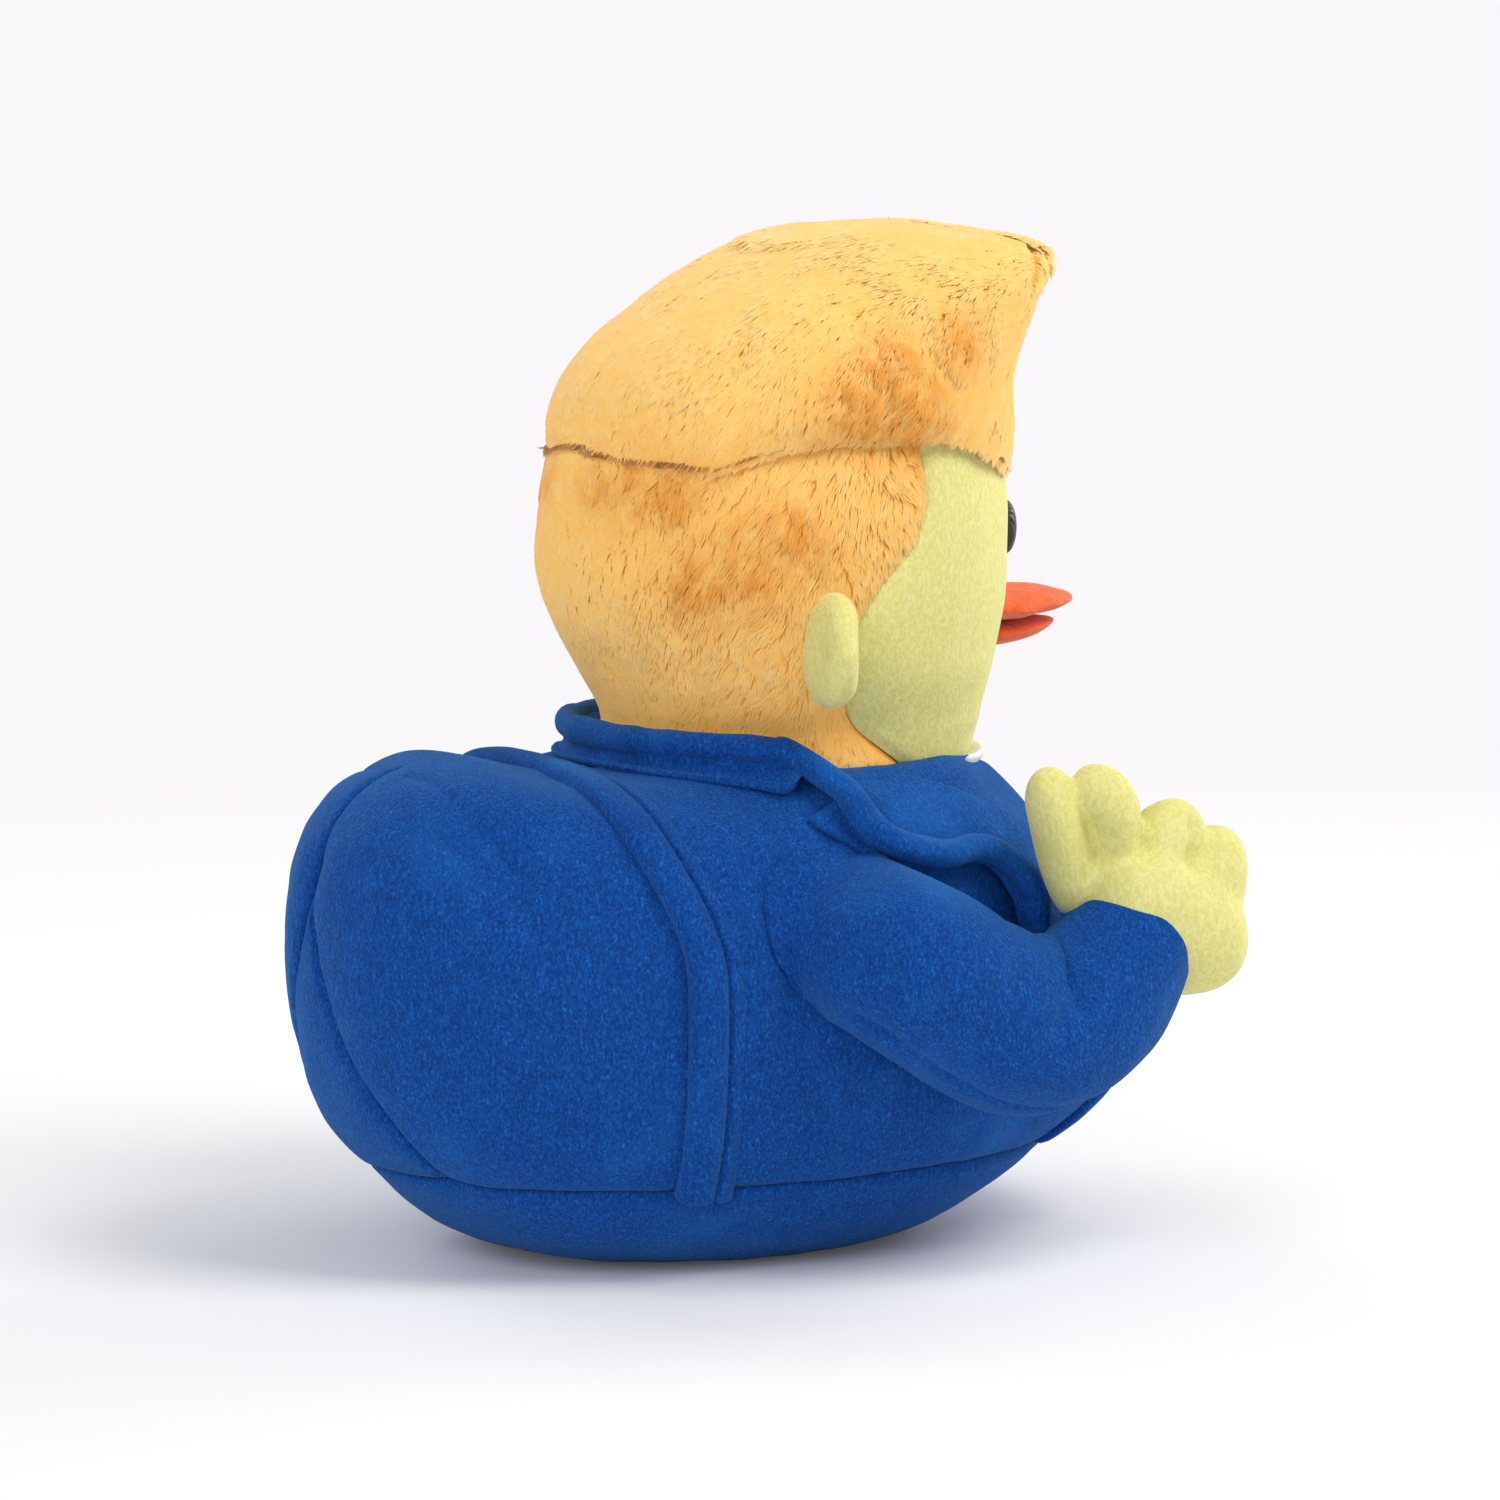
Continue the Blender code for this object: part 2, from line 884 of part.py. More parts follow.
def lapel(side):
    """A lapel: it stands off the chest along its roll line, and both its edges rest on the jacket."""
    lines = [
        [Vector(row) for row in rows]
        for rows in (lapel_base_shares, lapel_roll_shares, lapel_edge_shares)
    ]

    def surface(u, v):
        seen = along([along(line, v) for line in lines], u)
        stand = lapel_rest + lapel_stand * math.sin(math.pi * u) * (1 - v * v * v)
        return body.point(side * math.radians(seen.x), body.level_at(seen.y * body_height), stand)

    bm = sheet(surface, lapel_across, lapel_rows)
    face_out(bm, body_centre)
    thicken(add_object("lapel_" + side_name(side), bm, blue), lapel_thickness, outward=True)


def head_pivot_empty():
    """The head turns about this upright axis in the neck."""
    pivot = bpy.data.objects.new("neck_pivot", None)
    pivot.location = (0, neck_back, neck_height)
    parts.objects.link(pivot)
    bpy.context.view_layer.update()
    return pivot


head_pivot = head_pivot_empty()


def face_edge_turn(share):
    """How far the face reaches round the head: past the ear low down, to the temple higher up."""
    return along(face_edge_turns, share)


def head_pieces():
    """The head's stuffing, the yellow face, and the short fur round the back."""
    start = head.level_at(neck_height + gap) + seam_share
    seam = head.level_at(hair_seam_height)

    def stuffing(turn, level):
        return head.point(turn, level, -cloth - fill_gap)

    add_object("head_stuffing", closed_form(stuffing, head_around, head_rings), fill, head_pivot)

    def face(u, v):
        turn = face_edge_turn(v) - head_seam_turn
        return head.point(turn * (2 * u - 1), start + (seam - start) * v)

    bm = sheet(face, face_across, face_rows)
    face_out(bm, head_centre)
    thicken(add_object("face_panel", bm, yellow, head_pivot), cloth)

    def back(u, v):
        turn = math.pi - face_edge_turn(v) - head_seam_turn
        return head.point(math.pi + turn * (2 * u - 1), start + (seam - start) * v)

    bm = sheet(back, back_across, face_rows)
    face_out(bm, head_centre)
    thicken(add_object("hair_back_panel", bm, fur, head_pivot), cloth)


def hair_shell(name, start, end, across, top):
    """Part of the swept-up hair's fur cover, between two turns."""

    def surface(u, v):
        level = hair_rim_share + (top - hair_rim_share) * v
        inset = hair_seam_gap / 2 / max(hair.raw(math.pi / 2, level).x, hair_seam_gap)
        return hair.point(start + inset + (end - start - 2 * inset) * u, level)

    bm = sheet(surface, across, hair_rows)
    face_out(bm, head_centre)
    thicken(add_object(name, bm, fur, head_pivot), cloth)


def hair_pieces():
    """The swept-up hair: its fur top, the quiff's front, and the fill inside."""
    hair_shell("hair_top_panel", quiff_turn, 2 * math.pi - quiff_turn, top_across, 1)
    hair_shell("quiff_front_panel", -quiff_turn, quiff_turn, quiff_across, 1 - seam_share)
    seam = head.level_at(hair_seam_height) + seam_share

    def filling(turn, level):
        if level < brim_share:
            rise = 1 - level / brim_share
            return head.point(turn, seam + (1 - seam) * rise, gap)
        rise = (level - brim_share) / (1 - brim_share)
        return hair.point(turn, hair_rim_share + (1 - hair_rim_share) * rise, -cloth - crown_fill_gap)

    add_object("crown_stuffing", closed_form(filling, head_around, crown_rings), fill, head_pivot)


def egg(centre, size, out, around, rings):
    """A closed egg of three half sizes: across, outwards and up. Out is a level direction."""
    across = Vector((-out.y, out.x, 0))

    def surface(turn, level):
        rise = math.pi * (level - 1 / 2)
        flat = math.cos(rise)
        place = across * (size.x * flat * math.sin(turn))
        place += out * (size.y * flat * math.cos(turn))
        return centre + place + Vector((0, 0, size.z * math.sin(rise)))

    return closed_form(surface, around, rings)


def level_out(turn, level):
    """The head's outward direction, laid level."""
    out = head.out_of(turn, level)
    return Vector((out.x, out.y, 0)).normalized()


def ear(side):
    """A flat round ear sewn on the side of the head."""
    level = head.level_at(ear_level_height)
    turn = side * ear_turn
    out = level_out(turn, level)
    size = Vector((ear_thickness / 2, ear_depth, ear_height / 2))
    bm = egg(head.point(turn, level) + out * ear_thickness / 4, size, out, limb_around, ear_rings)
    cut(add_object("ear_" + side_name(side), bm, yellow, head_pivot), head_room)


def eye(side):
    """A plain oval eye on the face."""
    level = head.level_at(eye_height)
    turn = side * math.asin(eye_spread / head_half_width)
    out = level_out(turn, level)
    size = Vector((eye_half_width, eye_thickness, eye_half_height))
    bm = egg(head.point(turn, level), size, out, limb_around, finger_rings)
    cut(add_object("eye_" + side_name(side), bm, black, head_pivot), head_room)


def bill_half(name, scale, thickness, middle):
    """One half of the bill: a flat rounded felt form that narrows to its tip."""
    root = head.point(0, head.level_at(bill_height))
    reach = bill_reach * scale
    half_width = bill_half_width * scale

    def surface(turn, level):
        rise = math.pi * (level - 1 / 2)
        flat = math.cos(rise)
        ahead = math.cos(turn) * flat
        width = half_width * (1 - bill_narrow_share * max(ahead, 0))
        length = reach if ahead > 0 else half_width
        lift = middle + bill_lift * max(ahead, 0) ** 2 + thickness * math.sin(rise) / 2
        return root + Vector((width * math.sin(turn) * flat, -length * ahead, lift))

    bm = closed_form(surface, bill_around, finger_rings)
    cut(add_object(name, bm, orange, head_pivot), head_room)


def bill():
    bill_half("upper_bill", 1, upper_bill_thickness, (upper_bill_thickness + gap) / 2)
    bill_half("lower_bill", lower_bill_reach_share, lower_bill_thickness, -(lower_bill_thickness + gap) / 2)


def mirrored(vector, side):
    return Vector((vector.x * side, vector.y, vector.z))


def shoulder_out(side):
    """The direction that a shoulder faces, which is the axis that its arm turns about."""
    return Vector((side * math.cos(shoulder_lean), -math.sin(shoulder_lean), 0))


def shoulder_reach():
    """How far the shoulders' flat faces lie from the origin: just clear of the whole body."""
    out = shoulder_out(1)
    farthest = max(
        body.point(math.pi * turn / probe_around, level / probe_rings).dot(out)
        for turn in range(probe_around)
        for level in range(probe_rings)
    )
    return farthest + shoulder_clearance


arm_plane = shoulder_reach()


def trim(bm, side, closed=False):
    """Cuts an arm's form off at the flat face that it turns against."""
    out = shoulder_out(side)
    everything = list(bm.verts) + list(bm.edges) + list(bm.faces)
    bmesh.ops.bisect_plane(
        bm,
        geom=everything,
        dist=plane_merge,
        plane_co=out * arm_plane,
        plane_no=out,
        clear_inner=True,
    )
    if closed:
        rim = [edge for edge in bm.edges if edge.is_boundary]
        bmesh.ops.holes_fill(bm, edges=rim, sides=0)
        lids = [face for face in bm.faces if len(face.verts) > most_corners]
        bmesh.ops.triangulate(bm, faces=lids)
        turn_out(bm)


def limb(places, radii, blunt, out=0, open_end=False):
    """A stuffed limb along a smooth line. Each radius is a pair: in the arm's bend, and across it."""
    radii = [Row(pair) for pair in radii]

    def surface(turn, level):
        if open_end:
            share = 1 - math.cos(math.pi / 2 * level)
            full = math.sqrt(max(1 - (1 - share) ** blunt, 0))
        else:
            share = (1 - math.cos(math.pi * level)) / 2
            full = math.sqrt(max(1 - abs(2 * share - 1) ** blunt, 0))
        ahead = along(places, share + small_level) - along(places, share - small_level)
        ahead.normalize()
        bend = ahead.cross(Vector((1, 0, 0))).normalized()
        aside = bend.cross(ahead)
        deep, wide = along(radii, share).values
        place = along(places, share) + ahead * out * (2 * share - 1)
        place += bend * math.cos(turn) * (deep + out) * full
        return place + aside * math.sin(turn) * (wide + out) * full

    return surface


def finger(name, places, radius, rooms, parent):
    """One finger of a hand, cut by the larger pieces beside it. It gives the room it takes."""
    radii = [(radius, radius)] * len(places)
    surface = limb(places, radii, finger_blunt)
    made = add_object(name, closed_form(surface, finger_around, finger_rings), yellow, parent)
    for room in rooms:
        cut(made, room)
    grown = limb(places, radii, finger_blunt, gap)
    return add_object(name + "_room", closed_form(grown, finger_around, finger_rings), None, cutter=True)


def arm(side):
    """A bent arm: sleeve, stuffing and hand, which turn together about the shoulder."""
    name = side_name(side)
    pivot = bpy.data.objects.new("shoulder_pivot_" + name, None)
    pivot.location = mirrored(shoulder_place, side)
    parts.objects.link(pivot)
    bpy.context.view_layer.update()

    places = [arm_root_place, upper_arm_place, above_elbow_place, elbow_place, forearm_place, wrist_place]
    places = [mirrored(place, side) for place in places]
    radii = (shoulder_radius, shoulder_radius, shoulder_radius, elbow_radius, elbow_radius, cuff_radius)
    radii = [(radius, radius) for radius in radii]
    middle = places[1]

    bm = cup(limb(places, radii, arm_blunt, 0, True), limb_around, limb_rings)
    face_out(bm, middle)
    trim(bm, side)
    thicken(add_object("sleeve_" + name, bm, blue, pivot), cloth)

    grown = cup(limb(places, radii, arm_blunt, gap, True), limb_around, limb_rings)
    bmesh.ops.holes_fill(grown, edges=grown.edges, sides=limb_around)
    turn_out(grown)
    sleeve_room = add_object("sleeve_room_" + name, grown, None, cutter=True)

    inside = cup(limb(places, radii, arm_blunt, -cloth - fill_gap, True), limb_around, limb_rings)
    bmesh.ops.holes_fill(inside, edges=inside.edges, sides=limb_around)
    trim(inside, side, closed=True)
    add_object("arm_stuffing_" + name, inside, fill, pivot)

    hand(side, places[-1], sleeve_room, pivot)
    armhole_ring(side)


def hand(side, wrist, sleeve_room, pivot):
    """A hand with its thumb and first finger pinched together and two fingers folded."""
    name = side_name(side)

    def at(step):
        return wrist + mirrored(step, side)

    places = [at(palm_heel_step), (at(palm_heel_step) + at(palm_top_step)) / 2, at(palm_top_step)]
    radii = [(palm_radius, palm_radius)] * len(places)
    palm = closed_form(limb(places, radii, palm_blunt), limb_around, limb_rings)
    made = add_object("hand_" + name, palm, yellow, pivot)
    cut(made, sleeve_room)
    grown = closed_form(limb(places, radii, palm_blunt, gap), limb_around, limb_rings)
    palm_room = add_object("hand_room_" + name, grown, None, cutter=True)

    rooms = [sleeve_room, palm_room]
    thumb = [at(thumb_base_step), (at(thumb_base_step) + at(thumb_tip_step)) / 2, at(thumb_tip_step)]
    rooms.append(finger("thumb_" + name, thumb, thumb_radius, rooms, pivot))
    index = [at(index_base_step), at(index_knuckle_step), at(index_tip_step)]
    rooms.append(finger("index_finger_" + name, index, index_radius, rooms, pivot))
    for finger_name, step in (("middle_finger_", middle_finger_step), ("ring_finger_", ring_finger_step)):
        lobe = [at(step) - lobe_half_length, at(step), at(step) + lobe_half_length]
        rooms.append(finger(finger_name + name, lobe, finger_radius, rooms, pivot))


def armhole_ring(side):
    """The seam allowance between the jacket and the flat face that the sleeve turns against."""
    out = shoulder_out(side)
    depth = body_half_width
    middle = mirrored(shoulder_place, side)
    middle -= out * (middle.dot(out) - arm_plane + gap + depth / 2)
    bm = bmesh.new()
    turned = out.to_track_quat("Z", "X").to_matrix().to_4x4()
    turned.translation = middle
    bmesh.ops.create_cone(
        bm,
        cap_ends=True,
        segments=ring_sides,
        radius1=armhole_radius,
        radius2=armhole_radius,
        depth=depth,
        matrix=turned,
    )
    made = add_object("armhole_ring_" + side_name(side), bm, blue)
    cut(made, body_room)
    bore = bmesh.new()
    inner = armhole_radius - armhole_width
    bmesh.ops.create_cone(
        bore,
        cap_ends=True,
        segments=ring_sides,
        radius1=inner,
        radius2=inner,
        depth=depth + overrun,
        matrix=turned,
    )
    cut(made, add_object("armhole_bore_" + side_name(side), bore, None, cutter=True))


def grown_form(name, stack, around, rings):
    """The room that a form and the gap round it take, for cutting smaller pieces."""

    def grown(turn, level):
        return stack.point(turn, level, gap)

    return add_object(name, closed_form(grown, around, rings), None, cutter=True)


head_room = grown_form("head_room", head, head_around * 2, head_rings * 2)
body_room = grown_form("body_room", body, body_around * 2, body_rings * 2)

torso_pieces()
tail_gusset()
front_panel("shirt_front", closing_level, 1 - neck_hidden_share, white)
front_panel("waist_front", seam_level + seam_share, cutaway_level, dark_blue)
hem_band()
collar()
shirt_collar()
head_pieces()
hair_pieces()
bill()
for side in (-1, 1):
    torso_panels(side)
    front_edge(side)
    lapel(side)
    ear(side)
    eye(side)
    arm(side)
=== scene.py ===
import math

import bmesh
import bpy
import numpy as np
from mathutils import Matrix, Vector
from mathutils.bvhtree import BVHTree
from mathutils.kdtree import KDTree


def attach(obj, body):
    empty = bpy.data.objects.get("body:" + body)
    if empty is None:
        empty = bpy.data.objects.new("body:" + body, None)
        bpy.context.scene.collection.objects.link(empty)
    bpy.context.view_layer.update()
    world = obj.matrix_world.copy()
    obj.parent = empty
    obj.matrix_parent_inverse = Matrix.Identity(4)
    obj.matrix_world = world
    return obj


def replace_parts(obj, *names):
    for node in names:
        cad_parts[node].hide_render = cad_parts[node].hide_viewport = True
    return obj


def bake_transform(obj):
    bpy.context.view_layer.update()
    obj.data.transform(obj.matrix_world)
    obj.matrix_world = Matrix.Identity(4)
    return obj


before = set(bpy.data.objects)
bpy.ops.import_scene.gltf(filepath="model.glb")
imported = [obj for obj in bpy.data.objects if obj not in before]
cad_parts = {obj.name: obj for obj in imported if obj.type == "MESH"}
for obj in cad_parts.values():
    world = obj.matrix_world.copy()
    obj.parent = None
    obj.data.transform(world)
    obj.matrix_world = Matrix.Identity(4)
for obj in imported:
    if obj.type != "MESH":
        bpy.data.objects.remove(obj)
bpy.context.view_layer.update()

bpy.context.scene.view_settings.view_transform = "Standard"
mm = 0.001

# camera, floor and light

view = {
    "azimuth": math.radians(243), "elevation": math.radians(7), "distance": 1.30,
    "perPixel": 0.0002233,       # metres across one pixel of a 1500 wide frame
    "middle": (50, 479),         # frame middle, in pixels right of and above the origin
    "sensor": 36,
}


def makeCamera():
    turn, rise = view["azimuth"], view["elevation"]
    back = Vector((math.sin(turn) * math.cos(rise), -math.cos(turn) * math.cos(rise), math.sin(rise)))
    right = Vector((math.cos(turn), math.sin(turn), 0))
    up = back.cross(right)
    aim = (right * view["middle"][0] + up * view["middle"][1]) * view["perPixel"]
    data = bpy.data.cameras.new("camera")
    data.sensor_width = view["sensor"]
    data.lens = view["sensor"] * view["distance"] / (1500 * view["perPixel"])
    data.clip_start, data.clip_end = 0.05, 60
    camera = bpy.data.objects.new("camera", data)
    camera.location = aim + back * view["distance"]
    camera.rotation_euler = back.to_track_quat("Z", "Y").to_euler()
    bpy.context.scene.collection.objects.link(camera)
    bpy.context.scene.camera = camera


lamps = (  # name, place, aimed at, width, watts, colour
    ("keyLamp", (-0.75, -0.60, 1.30), (0, 0, 0.10), 0.75, 13.0, (1.0, 0.985, 0.96)),
    ("frontLamp", (0.35, -1.35, 0.75), (0, 0, 0.10), 0.80, 9.0, (1.0, 0.99, 0.97)),
    ("sideLamp", (1.25, 0.45, 0.85), (0, 0, 0.10), 0.90, 7.0, (0.97, 0.985, 1.0)),
    ("backLamp", (-0.70, 1.20, 0.80), (0, 0, 0.10), 0.90, 7.5, (0.97, 0.985, 1.0)),
)


def makeLamps():
    for name, place, aim, width, watts, colour in lamps:
        data = bpy.data.lights.new(name, "AREA")
        data.size, data.energy, data.color = width, watts, colour
        lamp = bpy.data.objects.new(name, data)
        lamp.location = place
        lamp.rotation_euler = (Vector(place) - Vector(aim)).to_track_quat("Z", "Y").to_euler()
        bpy.context.scene.collection.objects.link(lamp)


# shader maths

# linear colour from a hex code
def tint(code):
    parts = [int(code[i:i + 2], 16) / 255 for i in (1, 3, 5)]
    return tuple(c / 12.92 if c <= 0.04045 else ((c + 0.055) / 1.055) ** 2.4 for c in parts) + (1,)


class Wire:  # a socket that can be written as a number in an expression
    def __init__(self, finish, socket):
        self.finish, self.socket = finish, socket

    def maths(self, operation, first, second):
        return self.finish.node("ShaderNodeMath", {"operation": operation}, {0: first, 1: second})

    def __add__(self, other):
        return self.maths("ADD", self, other)

    def __sub__(self, other):
        return self.maths("SUBTRACT", self, other)

    def __rsub__(self, other):
        return self.maths("SUBTRACT", other, self)

    def __mul__(self, other):
        return self.maths("MULTIPLY", self, other)

    def steep(self, low, high):
        return self.finish.node(
            "ShaderNodeMapRange", {"interpolation_type": "SMOOTHSTEP"}, {0: self, 1: low, 2: high},
        )

    __radd__ = __add__
    __rmul__ = __mul__


class Finish:
    def __init__(self, name):
        self.material = bpy.data.materials.new(name)
        self.material.use_nodes = True
        self.tree = self.material.node_tree
        self.shader = self.tree.nodes["Principled BSDF"]
        self.end = self.tree.nodes["Material Output"]

    def join(self, value, socket):
        if isinstance(value, Wire):
            self.tree.links.new(value.socket, socket)
        else:
            socket.default_value = value

    def node(self, kind, settings=None, inputs=None, output=0):
        made = self.tree.nodes.new(kind)
        for name, value in (settings or {}).items():
            setattr(made, name, value)
        for name, value in (inputs or {}).items():
            self.join(value, made.inputs[name])
        return Wire(self, made.outputs[output])

    def spot(self):
        return self.node("ShaderNodeTexCoord", output="Object")

    def noise(self, scale, detail=2.0, rough=0.5, stretch=(1, 1, 1), turn=(0, 0, 0), warp=0.0):
        place = self.spot()
        if stretch != (1, 1, 1) or turn != (0, 0, 0):
            place = self.node("ShaderNodeMapping", {}, {"Vector": place, "Rotation": turn, "Scale": stretch})
        inputs = {"Vector": place, "Scale": scale, "Detail": detail, "Roughness": rough, "Distortion": warp}
        return self.node("ShaderNodeTexNoise", {}, inputs)

    def mix(self, share, first, second):
        inputs = {0: share, 6: first, 7: second}
        return self.node("ShaderNodeMix", {"data_type": "RGBA"}, inputs, output=2)

    def bump(self, height, reach, strength=1.0):
        inputs = {"Height": height, "Distance": reach, "Strength": strength}
        return self.node("ShaderNodeBump", {}, inputs)

    def surface(self, **values):
        names = {
            "colour": "Base Color", "rough": "Roughness", "normal": "Normal", "sheen": "Sheen Weight",
            "sheenRough": "Sheen Roughness", "sheenTint": "Sheen Tint", "specular": "Specular IOR Level",
            "glow": "Emission Color", "glowing": "Emission Strength",
        }
        for name, value in values.items():
            self.join(value, self.shader.inputs[names[name]])
        return self.material


# short brushed plush: small tufts that lean a little, and broad patches where the pile lies another way
def shortPile(
    name, deep, middle, pale, tuftScale=1100, patchScale=28, fleck=0.5, sheen=0.35, sheenTint=(1, 1, 1, 1),
    bumpReach=0.0005, glowing=0.0,
):
    finish = Finish(name)
    tufts = finish.noise(tuftScale, 2.5, 0.6, stretch=(1, 0.8, 0.55), warp=0.4)
    strands = finish.noise(tuftScale * 0.45, 3.0, 0.7, stretch=(1, 0.9, 0.45), turn=(0.3, 0.2, 0.5))
    patches = finish.noise(patchScale, 3.0, 0.55, warp=0.6)
    pile = (tufts * 0.7 + strands * 0.3).steep(0.38, 0.62)
    colour = finish.mix(pile, deep, middle)
    colour = finish.mix((tufts * 0.7 + strands * 0.3).steep(0.56, 0.70) * fleck, colour, pale)
    colour = finish.mix(patches.steep(0.52, 0.78) * 0.25, colour, pale)
    colour = finish.mix((1 - patches).steep(0.55, 0.80) * 0.35, colour, deep)
    normal = finish.bump(tufts * 0.8 + strands * 0.5, bumpReach, 1.0)
    rough = 0.86 + tufts * 0.12
    # glowing lets the pile glow in its own colour, which is painted light; it stays 0 unless given
    return finish.surface(
        colour=colour, rough=rough, normal=normal, sheen=sheen, sheenRough=0.45, sheenTint=sheenTint,
        specular=0.15, glow=colour, glowing=glowing,
    )


# long fibres. The mesh attribute gives root to tip in red, a strand's own shade in green and where the
# pile stands open in blue
def furStrands(name, root, middle, tip, deep):
    finish = Finish(name)
    strand = finish.node("ShaderNodeAttribute", {"attribute_name": "strand"}, {}, output="Color")
    split = finish.node("ShaderNodeSeparateColor", {}, {0: strand})
    own = Wire(finish, split.socket.node.outputs[1])
    patch = Wire(finish, split.socket.node.outputs[2])
    colour = finish.mix(split.steep(0.0, 0.55), root, middle)
    colour = finish.mix(split.steep(0.45, 1.0) * 0.85, colour, tip)
    colour = finish.mix(own.steep(0.35, 1.0) * 0.40, colour, tip)
    colour = finish.mix((1 - own).steep(0.55, 1.0) * 0.55, colour, middle)
    colour = finish.mix(patch * 0.75, colour, deep)
    grain = finish.noise(900, 2.0, 0.5)
    rough = 0.62 + grain * 0.2
    # the strands glow a little in a darker gold: painted light that lifts the shade between them
    return finish.surface(
        colour=colour, rough=rough, sheen=0.25, sheenRough=0.5, sheenTint=(1, 0.93, 0.8, 1), specular=0.2,
        glow=finish.mix(0.35, colour, deep), glowing=0.17,
    )


def wovenCloth(name, deep, pale, threads):
    finish = Finish(name)
    upright = finish.noise(threads, 1.0, 0.4, stretch=(1, 1, 0.35))
    level = finish.noise(threads, 1.0, 0.4, stretch=(0.35, 0.35, 1))
    weave = upright * 0.5 + level * 0.5
    soft = finish.noise(40, 2.0, 0.5)
    colour = finish.mix(weave.steep(0.35, 0.65), deep, pale)
    colour = finish.mix(soft.steep(0.5, 0.8) * 0.3, colour, deep)
    return finish.surface(
        colour=colour, rough=0.85 + weave * 0.1, normal=finish.bump(weave, 0.0003, 0.5), sheen=0.2,
        specular=0.2,
    )


def feltCloth(name, deep, middle, pale):
    finish = Finish(name)
    fibres = finish.noise(700, 4.0, 0.75, stretch=(1, 0.5, 1), warp=1.2)
    clouds = finish.noise(160, 3.0, 0.6, warp=0.8)
    colour = finish.mix(fibres.steep(0.35, 0.62), deep, middle)
    colour = finish.mix(clouds.steep(0.45, 0.75) * 0.6, colour, pale)
    normal = finish.bump(fibres * 0.7 + clouds * 0.5, 0.0006, 0.8)
    return finish.surface(
        colour=colour, rough=0.88 + fibres * 0.1, normal=normal, sheen=0.3, sheenRough=0.5, specular=0.15,
    )


# rows of close embroidery thread
def satinThread(name, deep, pale):
    finish = Finish(name)
    place = finish.node("ShaderNodeMapping", {}, {"Vector": finish.spot(), "Rotation": (0, 0.25, 0)})
    settings = {"wave_type": "BANDS", "bands_direction": "X"}
    rows = finish.node(
        "ShaderNodeTexWave", settings,
        {"Vector": place, "Scale": 380, "Distortion": 1.5, "Detail": 1.0, "Detail Scale": 2.0},
    )
    fleck = finish.noise(600, 2.0, 0.5)
    colour = finish.mix(rows * 0.5 + fleck * 0.3, deep, pale)
    return finish.surface(
        colour=colour, rough=0.30 + fleck * 0.2, normal=finish.bump(rows, 0.0003, 0.6), specular=0.5,
    )


def fillCloth(name):
    finish = Finish(name)
    fluff = finish.noise(300, 4.0, 0.7)
    colour = finish.mix(fluff, tint("#C9C6BE"), tint("#F2F0EA"))
    return finish.surface(
        colour=colour, rough=0.9 + fluff * 0.08, normal=finish.bump(fluff, 0.0008), specular=0.1,
    )


def makeStage():
    finish = Finish("paleFloor")
    spot = finish.node("ShaderNodeTexCoord", output="Object")
    far = finish.node("ShaderNodeVectorMath", {"operation": "LENGTH"}, {0: spot}, output=1).steep(0.25, 0.95)
    rays = finish.node("ShaderNodeLightPath", output="Is Camera Ray")
    glossy = finish.node("ShaderNodeLightPath", output="Is Glossy Ray")
    through = finish.node("ShaderNodeLightPath", output="Is Transmission Ray")
    seen = rays.maths("MAXIMUM", rays.maths("MAXIMUM", rays, glossy), through)
    plain = finish.node("ShaderNodeBsdfDiffuse", {}, {"Color": (0.93, 0.925, 0.935, 1)})
    glow = finish.node("ShaderNodeEmission", {}, {"Color": tint("#F9F7FA"), "Strength": 1.0})
    share = seen * (0.05 + far * 0.95)
    mixed = finish.node("ShaderNodeMixShader", {}, {0: share, 1: plain, 2: glow})
    finish.join(mixed, finish.end.inputs["Surface"])
    bm = bmesh.new()
    bmesh.ops.create_circle(bm, cap_ends=True, segments=96, radius=9)
    mesh = bpy.data.meshes.new("floor")
    bm.to_mesh(mesh)
    bm.free()
    mesh.materials.append(finish.material)
    floor = bpy.data.objects.new("floor", mesh)
    floor.location.z = -0.0004
    bpy.context.scene.collection.objects.link(floor)

    world = bpy.data.worlds.new("paleRoom")
    bpy.context.scene.world = world
    world.use_nodes = True
    nodes, links = world.node_tree.nodes, world.node_tree.links
    room, shown = nodes["Background"], nodes.new("ShaderNodeBackground")
    room.inputs["Color"].default_value, room.inputs["Strength"].default_value = (0.95, 0.97, 1.0, 1), 0.38
    shown.inputs["Color"].default_value, shown.inputs["Strength"].default_value = tint("#F9F7FA"), 1.0
    path, mixed = nodes.new("ShaderNodeLightPath"), nodes.new("ShaderNodeMixShader")
    either, anyOf = nodes.new("ShaderNodeMath"), nodes.new("ShaderNodeMath")
    either.operation = anyOf.operation = "MAXIMUM"
    links.new(path.outputs["Is Camera Ray"], either.inputs[0])
    links.new(path.outputs["Is Glossy Ray"], either.inputs[1])
    links.new(either.outputs[0], anyOf.inputs[0])
    links.new(path.outputs["Is Transmission Ray"], anyOf.inputs[1])
    links.new(anyOf.outputs[0], mixed.inputs[0])
    links.new(room.outputs[0], mixed.inputs[1])
    links.new(shown.outputs[0], mixed.inputs[2])
    links.new(mixed.outputs[0], nodes["World Output"].inputs["Surface"])


# soft forms, as outlines stacked upwards: height, front, rear, half width and widest place

